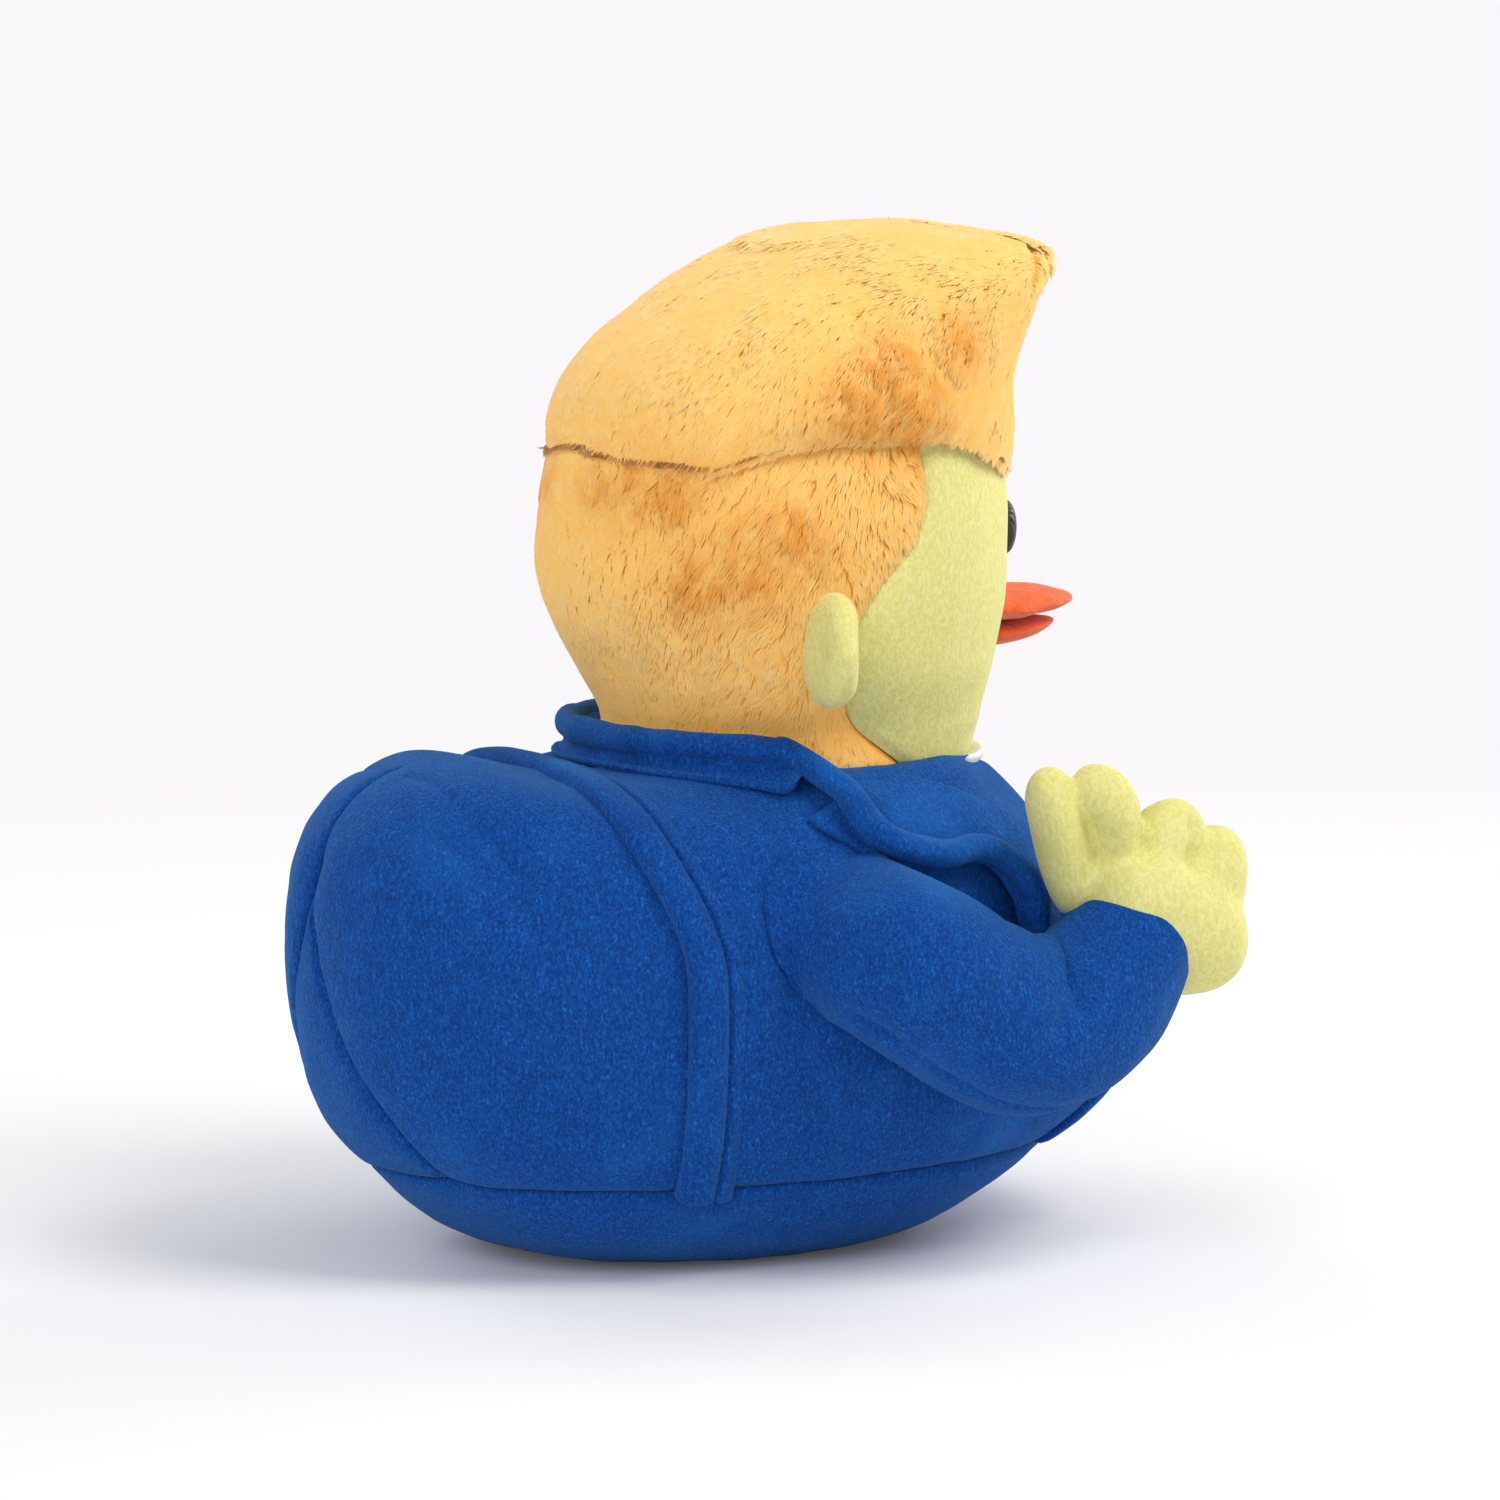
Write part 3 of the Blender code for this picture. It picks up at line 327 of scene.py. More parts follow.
bodyShape = {
    "height": 0.1106, "halfWidth": 0.061, "front": 0.1010, "rear": 0.0945, "crownBack": 0.0250,
    "restDepth": 0.0005, "dip": 0.0050, "dipStart": 0.064, "dipEnd": 0.040, "dipPower": 4,
    "fullness": 2.25, "seamHeight": 0.020, "floor": 0.0002,
    "shares": (
        (0.000, 0.000, 0.000, 0.000, 0.000), (0.000, 0.380, 0.400, 0.440, 0.000),
        (0.014, 0.460, 0.495, 0.590, 0.010), (0.041, 0.540, 0.585, 0.705, 0.020),
        (0.081, 0.620, 0.675, 0.795, 0.030), (0.145, 0.745, 0.770, 0.870, 0.035),
        (0.217, 0.865, 0.858, 0.925, 0.040), (0.298, 0.965, 0.920, 0.965, 0.045),
        (0.398, 1.000, 0.965, 0.990, 0.050), (0.506, 0.990, 0.990, 1.000, 0.050),
        (0.615, 0.935, 1.000, 0.990, 0.055), (0.714, 0.855, 0.995, 0.965, 0.060),
        (0.805, 0.770, 0.970, 0.925, 0.070), (0.877, 0.695, 0.925, 0.865, 0.080),
        (0.936, 0.630, 0.860, 0.765, 0.080), (0.976, 0.560, 0.760, 0.600, 0.080),
        (0.996, 0.440, 0.600, 0.360, 0.050),
    ),
}
headShape = {
    "neckHeight": 0.105, "neckRadius": 0.0385, "neckBack": -0.0195, "collarHeight": 0.0115,
    "gap": 0.0003, "underShare": 0.80,
    "top": 0.2040, "halfWidth": 0.0495, "front": 0.0700, "rear": 0.0295, "crownAhead": 0.0195,
    "backSwell": (0.0040, 0.152, 0.023),     # how far out, at what height, over what reach
    "chinSwell": (0.0060, 0.116, 0.011),
    "shares": (
        (0.235, 0.935, 0.800, 0.905), (0.340, 0.985, 0.930, 0.960), (0.455, 1.000, 1.000, 0.990),
        (0.580, 1.000, 1.000, 1.000), (0.700, 0.955, 0.960, 0.975), (0.810, 0.865, 0.790, 0.905),
        (0.905, 0.710, 0.420, 0.740), (0.970, 0.500, -0.100, 0.470),
    ),
}
hairShape = {
    "seamHeight": 0.1760, "top": 0.2205, "halfWidth": 0.0510, "front": 0.0860, "rear": 0.0310,
    "crownAhead": 0.0460, "fullness": 2.3, "quiffTurn": math.radians(48),
    "backHollow": (0.0038, 0.195, 0.016),    # how far in, at what height, over what reach
    "crownRise": (0.0026, -0.038, 0.022),    # how far up, how far back, over what reach
    "crownFall": (0.0020, 0, 0.018),
    "quiffDrop": (0.0026, 0.062, 0.086),     # how far down, from and to how far ahead
    # turn in degrees from the front, and how far the side seam lies above its height in millimetres
    "seam": (
        (0, -6.0), (24, -7.0), (38, -5.5), (52, -2.2), (64, 1.2), (74, 3.0), (81, 3.1), (97.5, 2.8),
        (107.5, 1.7), (117.5, -0.2), (130, -3.8), (146, -3.4), (166, -2.2), (180, -2.0),
    ),
    "shares": (
        (0.000, 0.792, 0.960, 0.968, 0.220), (0.180, 0.796, 0.995, 0.995, 0.230),
        (0.370, 0.800, 0.900, 0.975, 0.260), (0.560, 0.842, 0.640, 0.910, 0.320),
        (0.740, 0.895, 0.230, 0.820, 0.400), (0.860, 0.935, -0.150, 0.710, 0.470),
        (0.930, 0.945, -0.420, 0.600, 0.520), (0.975, 0.910, -0.650, 0.440, 0.550),
    ),
}


# a smooth curve through the rows, read at levels from 0 to 1. With each, every level has rows of its own
def alongRows(rows, level, each=None):
    rows = np.asarray(rows, float)
    last = len(rows) - 1
    place = np.clip(np.asarray(level, float), 0, 1) * last
    start = np.minimum(place.astype(int), last - 1)

    def row(step):
        index = np.clip(start + step, 0, last)
        return rows[index] if each is None else rows[index, each]

    low, high = row(0), row(1)
    share = (place - start).reshape(place.shape + (1,) * (low.ndim - place.ndim))
    slope, nextSlope = (high - row(-1)) / 2, (row(2) - low) / 2
    square, cube = share**2, share**3
    ends = low * (2 * cube - 3 * square + 1) + high * (3 * square - 2 * cube)
    return ends + slope * (cube - 2 * square + share) + nextSlope * (cube - square)


# the value from low to high where a test that holds at low stops holding
def halved(low, high, holds):
    for _ in range(26):
        middle = (low + high) / 2
        before = holds(middle)
        low, high = np.where(before, middle, low), np.where(before, high, middle)
    return (low + high) / 2


# a soft hump of this size round a middle
def swelling(values, size, middle, reach):
    return size * np.exp(-(((values - middle) / reach) ** 2))


def eased(share):
    share = np.clip(share, 0, 1)
    return share * share * (3 - 2 * share)


def unit(vectors):
    return vectors / np.maximum(np.linalg.norm(vectors, axis=-1, keepdims=True), 1e-12)


class Form:
    def __init__(self, rows, floor, fullness=2, settle=None):
        self.rows, self.floor, self.fullness, self.settle = np.array(rows), floor, fullness, settle

    def raw(self, turn, level):
        turn, level = np.broadcast_arrays(np.asarray(turn, float), np.asarray(level, float))
        height, front, rear, half, widest = np.moveaxis(alongRows(self.rows, level), -1, 0)
        power = 2 / self.fullness
        across = np.copysign(np.abs(np.sin(turn)) ** power, np.sin(turn))
        ahead = np.copysign(np.abs(np.cos(turn)) ** power, np.cos(turn))
        reach = np.where(ahead > 0, front - widest, rear + widest)
        place = np.stack([half * across, -widest - reach * ahead, height], -1)
        return self.settle(place) if self.settle else place

    def out(self, turn, level):
        turn, level = np.broadcast_arrays(np.asarray(turn, float), np.asarray(level, float))
        around = self.raw(turn + 0.01, level) - self.raw(turn - 0.01, level)
        upwards = self.raw(turn, level + 0.004) - self.raw(turn, level - 0.004)
        found = unit(np.cross(around, upwards))
        found[level < 0.006] = (0, 0, -1)
        found[level > 0.994] = (0, 0, 1)
        return found

    def point(self, turn, level, out=0):
        out = np.asarray(out, float)
        place = self.raw(turn, level) + self.out(turn, level) * out[..., None]
        place[..., 2] = np.maximum(place[..., 2], self.floor - np.minimum(out, 0))
        return place

    def levelAt(self, height, turn=0.0):
        height = np.asarray(height, float)
        return halved(
            np.zeros_like(height), np.ones_like(height), lambda level: self.raw(turn, level)[..., 2] < height,
        )

    # places on the form from rows of turn in degrees and height in millimetres
    def on(self, rows, out=0.0):
        rows = np.asarray(rows, float)
        return self.point(np.radians(rows[:, 0]), self.levelAt(rows[:, 1] * mm), out)


def bodyDip(place):
    shape = bodyShape
    start = eased((shape["dipStart"] - place[..., 1]) / (shape["dipStart"] - shape["dipEnd"]))
    end = eased((place[..., 1] + shape["dipStart"]) / (shape["dipStart"] + shape["dipEnd"]))
    share = np.maximum(place[..., 2] / shape["height"], 0) ** shape["dipPower"]
    place[..., 2] -= shape["dip"] * start * end * share
    return place


def bodyForm():
    shape = bodyShape
    scale = (shape["height"], shape["front"], shape["rear"], shape["halfWidth"], shape["front"])
    rows = [tuple(a * b for a, b in zip(row, scale)) for row in shape["shares"]]
    rows[0] = (-shape["restDepth"],) + rows[0][1:]
    back = shape["crownBack"]
    rows.append((shape["height"], -back, back, 0, -back))
    return Form(rows, shape["floor"], shape["fullness"], bodyDip)


def headForm():
    shape = headShape
    back, radius, height = shape["neckBack"], shape["neckRadius"], shape["neckHeight"]
    neck = (radius - back, radius + back, radius, -back)
    under = radius * shape["underShare"]
    rows = [(height, -back, back, 0, -back), (height, under - back, under + back, under, -back)]
    rows.append((height + shape["gap"],) + neck)
    rows.append((height + shape["collarHeight"],) + neck)
    for rise, front, rear, half in shape["shares"]:
        rise = height + rise * (shape["top"] - height)
        rows.append((rise, front * shape["front"], rear * shape["rear"], half * shape["halfWidth"], -back))
    rows.append((shape["top"], shape["crownAhead"], -shape["crownAhead"], 0, shape["crownAhead"]))
    return Form(rows, height)


def hairForm():
    shape = hairShape
    rows = []
    for rise, front, rear, half, widest in shape["shares"]:
        rise = shape["seamHeight"] + rise * (shape["top"] - shape["seamHeight"])
        ahead = widest * shape["front"]
        rows.append((rise, front * shape["front"], rear * shape["rear"], half * shape["halfWidth"], ahead))
    rows.append((shape["top"], shape["crownAhead"], -shape["crownAhead"], 0, shape["crownAhead"]))
    return Form(rows, shape["seamHeight"], shape["fullness"])


body, head, hair = bodyForm(), headForm(), hairForm()
bodyMiddle = np.array((0, 0, 0.055))
headMiddle = np.array((0, -0.0195, 0.155))


# smooth noise from -1 to 1 for places, with bumps about size across
def ripple(places, size, seed):
    chance = np.random.default_rng(seed)
    ways = unit(chance.normal(size=(9, 3))) * (2 * math.pi / size) * chance.uniform(0.6, 1.5, (9, 1))
    phases = chance.uniform(0, 2 * math.pi, 9)
    return np.sin(places @ ways.T + phases).sum(-1) / 4.2


# distance to the nearest point of a line, and how far along the line that is
def awayFrom(places, line):
    line = np.asarray(line, float)
    steps = np.linalg.norm(np.diff(line, axis=0), axis=1)
    length = np.concatenate([[0], np.cumsum(steps)])
    marks = np.arange(0, length[-1], 0.0004)
    dense = np.stack([np.interp(marks, length, line[:, i]) for i in range(3)], -1)
    flat = places.reshape(-1, 3)
    away, along = np.empty(len(flat)), np.empty(len(flat))
    for start in range(0, len(flat), 4000):
        square = ((flat[start:start + 4000, None, :] - dense[None]) ** 2).sum(-1)
        nearest = square.argmin(1)
        away[start:start + 4000] = np.sqrt(square[np.arange(len(nearest)), nearest])
        along[start:start + 4000] = marks[nearest]
    return away.reshape(places.shape[:-1]), along.reshape(places.shape[:-1])


def smoothLine(points, count=160):
    return alongRows(points, np.linspace(0, 1, count))


# a seam or fold: its places, how deep and wide the stitched valley is, how far the cloth round it sinks
# over what reach, and how much it gathers
def seamAt(line, depth, width, sink, reach, gather=0.0):
    return {"line": line, "depth": depth, "width": width, "sink": sink, "reach": reach, "gather": gather}


# how far a seam pulls the cloth in. The two waves along it make its gathers uneven
def groove(places, seam):
    away, along = awayFrom(places, seam["line"])
    deep = seam["depth"] * np.exp(-(away / seam["width"]) ** 2)
    deep = deep + seam["sink"] * np.exp(-(away / seam["reach"]) ** 2)
    gathers = np.sin(along / 0.0031) + 0.7 * np.sin(along / 0.0047 + 1.7)
    return deep + seam["gather"] * gathers * np.exp(-(away / 0.0035) ** 2)


# meshes

def newObject(name, mesh, finish):
    mesh.materials.append(finish)
    mesh.shade_smooth()
    made = bpy.data.objects.new(name, mesh)
    bpy.context.scene.collection.objects.link(made)
    return made


def readPoints(mesh):
    flat = np.empty(len(mesh.vertices) * 3)
    mesh.vertices.foreach_get("co", flat)
    return flat.reshape(-1, 3)


def writePoints(mesh, points):
    mesh.vertices.foreach_set("co", np.asarray(points, np.float32).ravel())
    mesh.update()


# a mesh from a start shape, with its points moved to the places found for them
def movedMesh(name, bm, find):
    mesh = bpy.data.meshes.new(name)
    bm.to_mesh(mesh)
    writePoints(mesh, find(readPoints(mesh)))
    bm.clear()
    bm.from_mesh(mesh)
    return mesh


# a grid mesh whose shares across and along are turned into places. A ring joins its two long edges
def gridMesh(name, place, across, rows, ring=False, middle=None):
    bm = bmesh.new()
    bmesh.ops.create_grid(bm, x_segments=across, y_segments=rows, size=1)
    mesh = movedMesh(name, bm, lambda co: place((co[:, 0] + 1) / 2, (co[:, 1] + 1) / 2))
    bmesh.ops.remove_doubles(bm, verts=bm.verts, dist=2e-6)
    bm.normal_update()
    if ring or middle is None:
        bmesh.ops.recalc_face_normals(bm, faces=bm.faces)
    else:
        centre = Vector(middle)
        if sum(face.normal.dot(face.calc_center_median() - centre) for face in bm.faces) < 0:
            bmesh.ops.reverse_faces(bm, faces=bm.faces)
    bm.to_mesh(mesh)
    bm.free()
    return mesh


def sheetPiece(name, place, across, rows, finish, middle, thickness=0.0012):
    made = newObject(name, gridMesh(name, place, across, rows, middle=middle), finish)
    wall = made.modifiers.new("clothThickness", "SOLIDIFY")
    wall.thickness, wall.offset = thickness, -1
    return made


# a closed mesh from a sphere whose turn and level are turned into places
def roundMesh(name, place, around, rings):
    def find(co):
        level = np.arcsin(np.clip(co[:, 2], -1, 1)) / math.pi + 0.5
        return place(np.arctan2(co[:, 0], -co[:, 1]), level)

    bm = bmesh.new()
    bmesh.ops.create_uvsphere(bm, u_segments=around, v_segments=rings, radius=1)
    mesh = movedMesh(name, bm, find)
    bmesh.ops.recalc_face_normals(bm, faces=bm.faces)
    if bm.calc_volume(signed=True) < 0:
        bmesh.ops.reverse_faces(bm, faces=bm.faces)
    bm.to_mesh(mesh)
    bm.free()
    return mesh


# outward direction of a surface of two shares, away from a middle point
def surfaceOut(place, u, v, middle):
    step = 0.002
    across = place(np.clip(u + step, 0, 1), v) - place(np.clip(u - step, 0, 1), v)
    along = place(u, np.clip(v + step, 0, 1)) - place(u, np.clip(v - step, 0, 1))
    out = unit(np.cross(across, along))
    flip = np.sign(((place(u, v) - middle) * out).sum(-1).mean())
    return out * (flip if flip else 1)


# a folded strip of cloth with a round rim: a flat tube round a surface of two shares
def stripPiece(name, place, rows, finish, middle, thickness, around=26, edge=0.55, ends=14):
    def tube(w, v):
        angle = 2 * math.pi * w
        u = (1 - np.cos(angle)) / 2
        swell = np.copysign(np.abs(np.sin(angle)) ** edge, np.sin(angle))
        close = np.sqrt(np.maximum(1 - np.abs(2 * v - 1) ** ends, 0))
        return place(u, v) + surfaceOut(place, u, v, middle) * (swell * thickness / 2 * close)[..., None]

    return newObject(name, gridMesh(name, tube, around, rows, ring=True), finish)


# the object with its modifiers applied
def finalMesh(made):
    graph = bpy.context.evaluated_depsgraph_get()
    mesh = bpy.data.meshes.new_from_object(made.evaluated_get(graph))
    made.modifiers.clear()
    made.data = mesh
    mesh.shade_smooth()
    return made


def bodyTree():
    turns = np.linspace(-math.pi, math.pi, 241)[:-1]
    grid = body.point(turns[None, :], np.linspace(0, 1, 161)[:, None])
    index = np.arange(grid.shape[0] * grid.shape[1]).reshape(grid.shape[:2])
    beside = np.roll(index, -1, 1)
    faces = np.stack([index[:-1], beside[:-1], beside[1:], index[1:]], -1).reshape(-1, 4)
    return BVHTree.FromPolygons([Vector(p) for p in grid.reshape(-1, 3)], faces.tolist())


probe = bodyTree()


# moves places that lie inside the body, or nearer than least, out of it
def clearOfBody(points, least):
    flat = points.reshape(-1, 3).copy()
    for i, point in enumerate(flat):
        near, out, _, _ = probe.find_nearest(Vector(point))
        gapOut = (Vector(point) - near).dot(out)
        if gapOut < least:
            flat[i] = near + out * least
    return flat.reshape(points.shape)


# jacket and body

jacket = {
    "hemSide": 0.031, "hemTop": 0.043, "hemRise": (0.60, 0.38), "closing": 0.095, "cutaway": 0.064,
    "neckTurn": math.radians(48), "cutTurn": math.radians(38),
    "gussetTop": 0.086, "underHem": 0.003, "edgeWidth": 0.0062, "edgeThick": 0.0026, "bellyRadius": 0.085,
    "tailSeam": (
        (22.6, 20.0), (20.2, 26.5), (17.6, 33.0), (13.2, 41.0), (9.4, 49.5), (6.2, 58.7), (3.0, 69.0),
        (0.6, 80.0), (0.0, 88.0),
    ),
    "dart": (
        (-170.0, 107.0), (-160.0, 106.2), (-152.5, 104.4), (-142.5, 98.3), (-137.5, 94.2), (-135.0, 90.9),
    ),
    "dimple": (-134.5, 90.5),    # turn and height of the pinch at each dart's end
    "dimpleDepth": 0.0026, "dimpleReach": 0.0055, "dimpleWay": (0, 0.5, 0.85), "dimpleStretch": 0.35,
    # the cloth stands up a little round the neck: radius, reach, from what height and between what turns
    "standRadius": 0.0435, "standReach": 0.0055, "standFrom": (0.098, 0.104), "standRise": 0.0030,
    "standTurns": (30, 55, 110, 130),
    "armhole": (
        (-90.0, 94.5), (-93.8, 92.6), (-97.5, 90.8), (-98.8, 85.7), (-98.8, 79.5), (-97.5, 71.7),
        (-93.8, 63.1), (-89.5, 58.6), (-84.5, 58.0), (-79.5, 62.0), (-76.5, 70.0), (-76.5, 80.0),
        (-80.0, 89.5), (-85.0, 94.0),
    ),
}


def hemBack(height):
    rise = eased((height / bodyShape["height"] - jacket["hemRise"][0]) / jacket["hemRise"][1])
    return jacket["hemSide"] + (jacket["hemTop"] - jacket["hemSide"]) * rise


# the turn at which the hem line, or a line that far ahead of it, crosses each level
def hemTurn(level, ahead=0.0):
    level = np.asarray(level, float)

    def holds(turn):
        place = body.raw(turn, level)
        return place[..., 1] < hemBack(place[..., 2]) - ahead

    return halved(np.full_like(level, math.pi / 2), np.full_like(level, math.pi), holds)


def hemTopLevel(ahead=0.0):
    def holds(level):
        place = body.raw(math.pi, level)
        return place[1] > hemBack(place[2]) - ahead

    return float(halved(float(body.levelAt(0.07)), 1.0, holds))


neckLevel = 0.972                # where the panels end, under the collar
seamLevel = float(body.levelAt(bodyShape["seamHeight"]))
closingLevel = float(body.levelAt(jacket["closing"]))
cutawayLevel = float(body.levelAt(jacket["cutaway"]))
tailSeamTurns = np.array(jacket["tailSeam"])


# half the turn that the belly's tongue takes up the back of the tail
def gussetTurn(height):
    return np.radians(np.interp(height / mm, tailSeamTurns[:, 1], tailSeamTurns[:, 0]))


def frontTurn(level):
    height = body.raw(0, level)[..., 2]
    share = np.clip((height - jacket["closing"]) / (bodyShape["height"] - jacket["closing"]), 0, 1)
    lower = jacket["cutTurn"] * eased(
        (jacket["cutaway"] - height) / (jacket["cutaway"] - bodyShape["seamHeight"])
    )
    return np.where(height > jacket["closing"], jacket["neckTurn"] * share, lower)


def onBody(rows, side=1, out=0.0):
    rows = np.asarray(rows, float) * (side, 1)
    return body.on(rows, out)


def bodySeams():
    turns = np.linspace(-math.pi, math.pi, 400)
    tail = [(180 - turn, height) for turn, height in jacket["tailSeam"]]
    upper = onBody([(180.0, height) for height in (87, 95, 101, 105, 107.5)])
    seams = [
        seamAt(body.point(turns, seamLevel), 0.0012, 0.0011, 0.0007, 0.005, 0.00010),
        seamAt(smoothLine(upper), 0.0009, 0.0010, 0.0004, 0.005, 0.00008),
    ]
    for side in (1, -1):
        loop = onBody(jacket["armhole"] + jacket["armhole"][:1], -side)
        dart = onBody(jacket["dart"], -side)
        seams.append(seamAt(smoothLine(onBody(tail, side)), 0.0013, 0.0011, 0.0006, 0.005, 0.00008))
        seams.append(seamAt(smoothLine(dart), 0.0007, 0.0010, 0.0005, 0.004, 0.00005))
        seams.append(seamAt(smoothLine(loop), 0.0013, 0.0013, 0.0005, 0.006, 0.00014))
    return seams


seamsOfBody = bodySeams()
dimples = [onBody([jacket["dimple"]], side)[0] for side in (1, -1)]


# how many degrees a turn lies from the front
def fromFront(turn):
    return np.degrees(np.abs((turn + math.pi) % (2 * math.pi) - math.pi))


# the dressed surface of the body, with its seams, the dimple at each dart and soft unevenness
def bodySkin(turn, level, out=0.0006):
    turn, level = np.broadcast_arrays(np.asarray(turn, float), np.asarray(level, float))
    place = body.raw(turn, level)
    lift = out + 0.00045 * ripple(place, 0.034, 3) + 0.00016 * ripple(place, 0.012, 4)
    for seam in seamsOfBody:
        lift = lift - groove(place, seam)
    way = unit(np.array(jacket["dimpleWay"]))
    for dimple in dimples:
        away = place - dimple
        away = away - away @ way[..., None] * way * jacket["dimpleStretch"]
        near = np.exp(-((away**2).sum(-1)) / jacket["dimpleReach"] ** 2)
        lift = lift - jacket["dimpleDepth"] * near
    found = place + body.out(turn, level) * lift[..., None]
    away = fromFront(turn)
    starts, full, ends, gone = jacket["standTurns"]
    low, high = jacket["standFrom"]
    reach = np.hypot(found[..., 0], found[..., 1] - headShape["neckBack"])
    ring = swelling(reach, 1, jacket["standRadius"], jacket["standReach"])
    ring = ring * eased((found[..., 2] - low) / (high - low))
    ring = jacket["standRise"] * ring * eased((away - starts) / (full - starts))
    found[..., 2] += ring * eased((gone - away) / (gone - ends))
    found[..., 2] = np.maximum(found[..., 2], body.floor)
    return found


def makeBody(blue, paintedShade, white):
    done = []

    def belly(u, v):
        return bodySkin(math.pi * (2 * u - 1), seamLevel * v)

    made = sheetPiece("bellyPanel", belly, 220, 64, blue, bodyMiddle)
    done.append(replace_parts(made, "belly_panel"))

    gussetTop = float(body.levelAt(jacket["gussetTop"]))

    def gusset(u, v):
        level = seamLevel + (gussetTop - seamLevel) * v
        return bodySkin(math.pi + gussetTurn(body.raw(math.pi, level)[..., 2]) * (2 * u - 1), level)

    made = sheetPiece("tailGusset", gusset, 36, 70, blue, bodyMiddle)
    done.append(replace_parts(made, "tail_gusset"))

    topLevel = hemTopLevel(jacket["underHem"])
    for side, name in ((-1, "Right"), (1, "Left")):

        def tail(u, v, side=side):
            level = seamLevel + (topLevel - seamLevel) * v
            start = hemTurn(level, jacket["underHem"])
            end = np.maximum(math.pi - gussetTurn(body.raw(math.pi, level)[..., 2]), start)
            tuck = 0.0008 * np.exp(-(u / 0.06) ** 2)
            return bodySkin(side * (start + (end - start) * u), level, 0.0006 - tuck)

        made = sheetPiece("tailPanel" + name, tail, 88, 100, blue, bodyMiddle)
        done.append(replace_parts(made, "tail_panel_" + name.lower()))

        def front(u, v, side=side):
            level = seamLevel + (neckLevel - seamLevel) * v
            start, end = frontTurn(level), hemTurn(level)
            return bodySkin(side * (start + (end - start) * u), level)

        made = sheetPiece("jacketPanel" + name, front, 110, 100, blue, bodyMiddle)
        done.append(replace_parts(made, "jacket_panel_" + name.lower()))

        def edge(u, v, side=side):
            level = seamLevel + 0.002 + (closingLevel - seamLevel) * v
            start = frontTurn(level) - 0.004 + jacket["edgeWidth"] / jacket["bellyRadius"] * u
            return bodySkin(side * start, level, 0.0012)

        made = stripPiece("frontEdge" + name, edge, 90, blue, bodyMiddle, jacket["edgeThick"])
        done.append(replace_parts(made, "front_edge_band_" + name.lower()))

    def between(low, high, out):
        def sheet(u, v):
            level = low + (high - low) * v
            return bodySkin(frontTurn(level) * 1.02 * (2 * u - 1), level, out)

        return sheet

    # the belly between the fronts takes a darker copy of the blue plush: painted shade, where it lies in the
    # jacket's shadow
    made = sheetPiece("waistFront", between(seamLevel, cutawayLevel, 0.0001), 90, 50, paintedShade, bodyMiddle)
    done.append(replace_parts(made, "waist_front"))
    made = sheetPiece("shirtFront", between(closingLevel, neckLevel, -0.0002), 90, 60, white, bodyMiddle)
    done.append(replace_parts(made, "shirt_front"))
    for made in done:
        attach(made, "torso")


hem = {
    "under": 0.0004,                 # how far it reaches under the side seam
    "off": 0.6,                      # how far all of it stands off, in millimetres
    "middleHeight": 0.0553,          # the height that its spokes start from
    # across the fold in millimetres from its rear edge, and how far it stands off the body
    "profile": (
        (-0.5, -1.2), (-0.45, 0.4), (-0.1, 1.6), (0.7, 2.5), (2.0, 2.9), (4.0, 2.9), (5.8, 2.5),
        (7.0, 1.7), (7.7, 0.9), (8.1, 0.5), (8.8, 1.2), (9.8, 1.1), (11.2, 0.5), (12.4, -0.6),
    ),
}


def makeHem(blue):
    def hit(angle, across):
        back = jacket["hemSide"]
        way = Vector((math.sin(angle), 0, math.cos(angle)))
        for _ in range(3):
            place, out, _, _ = probe.ray_cast(Vector((0, back - across, hem["middleHeight"])), way)
            back = hemBack(place.z)
        return place, out if out.dot(way) > 0 else -out

    foot = bodyShape["seamHeight"] - hem["under"]
    end = float(halved(math.pi / 2, math.pi, lambda angle: hit(angle, 0)[0].z > foot))
    profile = np.array(hem["profile"])

    def band(u, v):
        rise = alongRows(profile, u)
        found = np.empty((len(u), 3))
        for i, (share, (across, off)) in enumerate(zip(v, rise)):
            place, out = hit(end * (2 * share - 1), across * mm)
            found[i] = place + out * ((off + hem["off"]) * mm)
        uneven = 0.00025 * ripple(found, 0.016, 8) * (rise[:, 1] > 0)
        return found + unit(found - bodyMiddle) * uneven[:, None]

    made = sheetPiece("jacketHem", band, 44, 230, blue, bodyMiddle, 0.0010)
    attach(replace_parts(made, "jacket_hem_band"), "torso")


collar = {
    "endTurn": 80, "neck": -0.0195, "thick": 0.0021,
    # from the neck seam up the stand, over the roll and down the fall: radius and height in
    # millimetres, and how far it rests on the body
    "profile": (
        (40.8, 104.5, 0), (41.4, 109.5, 0), (43.2, 112.4, 0), (45.6, 113.0, 0), (47.0, 111.0, 0),
        (47.0, 109.0, 0), (48.6, 107.2, 0.1), (50.4, 105.6, 1.0),
    ),
    "roll": (46.6, 113.2, 3.1),      # radius from the neck's axis, height, half its thickness
    "rollTurn": 68,
    # degrees from the back, and how far it lies lower there in millimetres
    "drop": ((0, 0), (50, 0.3), (60, 0.6), (67, 1.4), (73, 3.6), (80, 7.4)),
    "notch": (66, 72),               # degrees between which the fall ends
    "notchShare": 0.48,
    "curl": (1.5, 67.5, 3.0),        # how far the fall's end curls up, at what turn, over what reach
    "rest": 0.0024,                  # how far it lies off the body
}


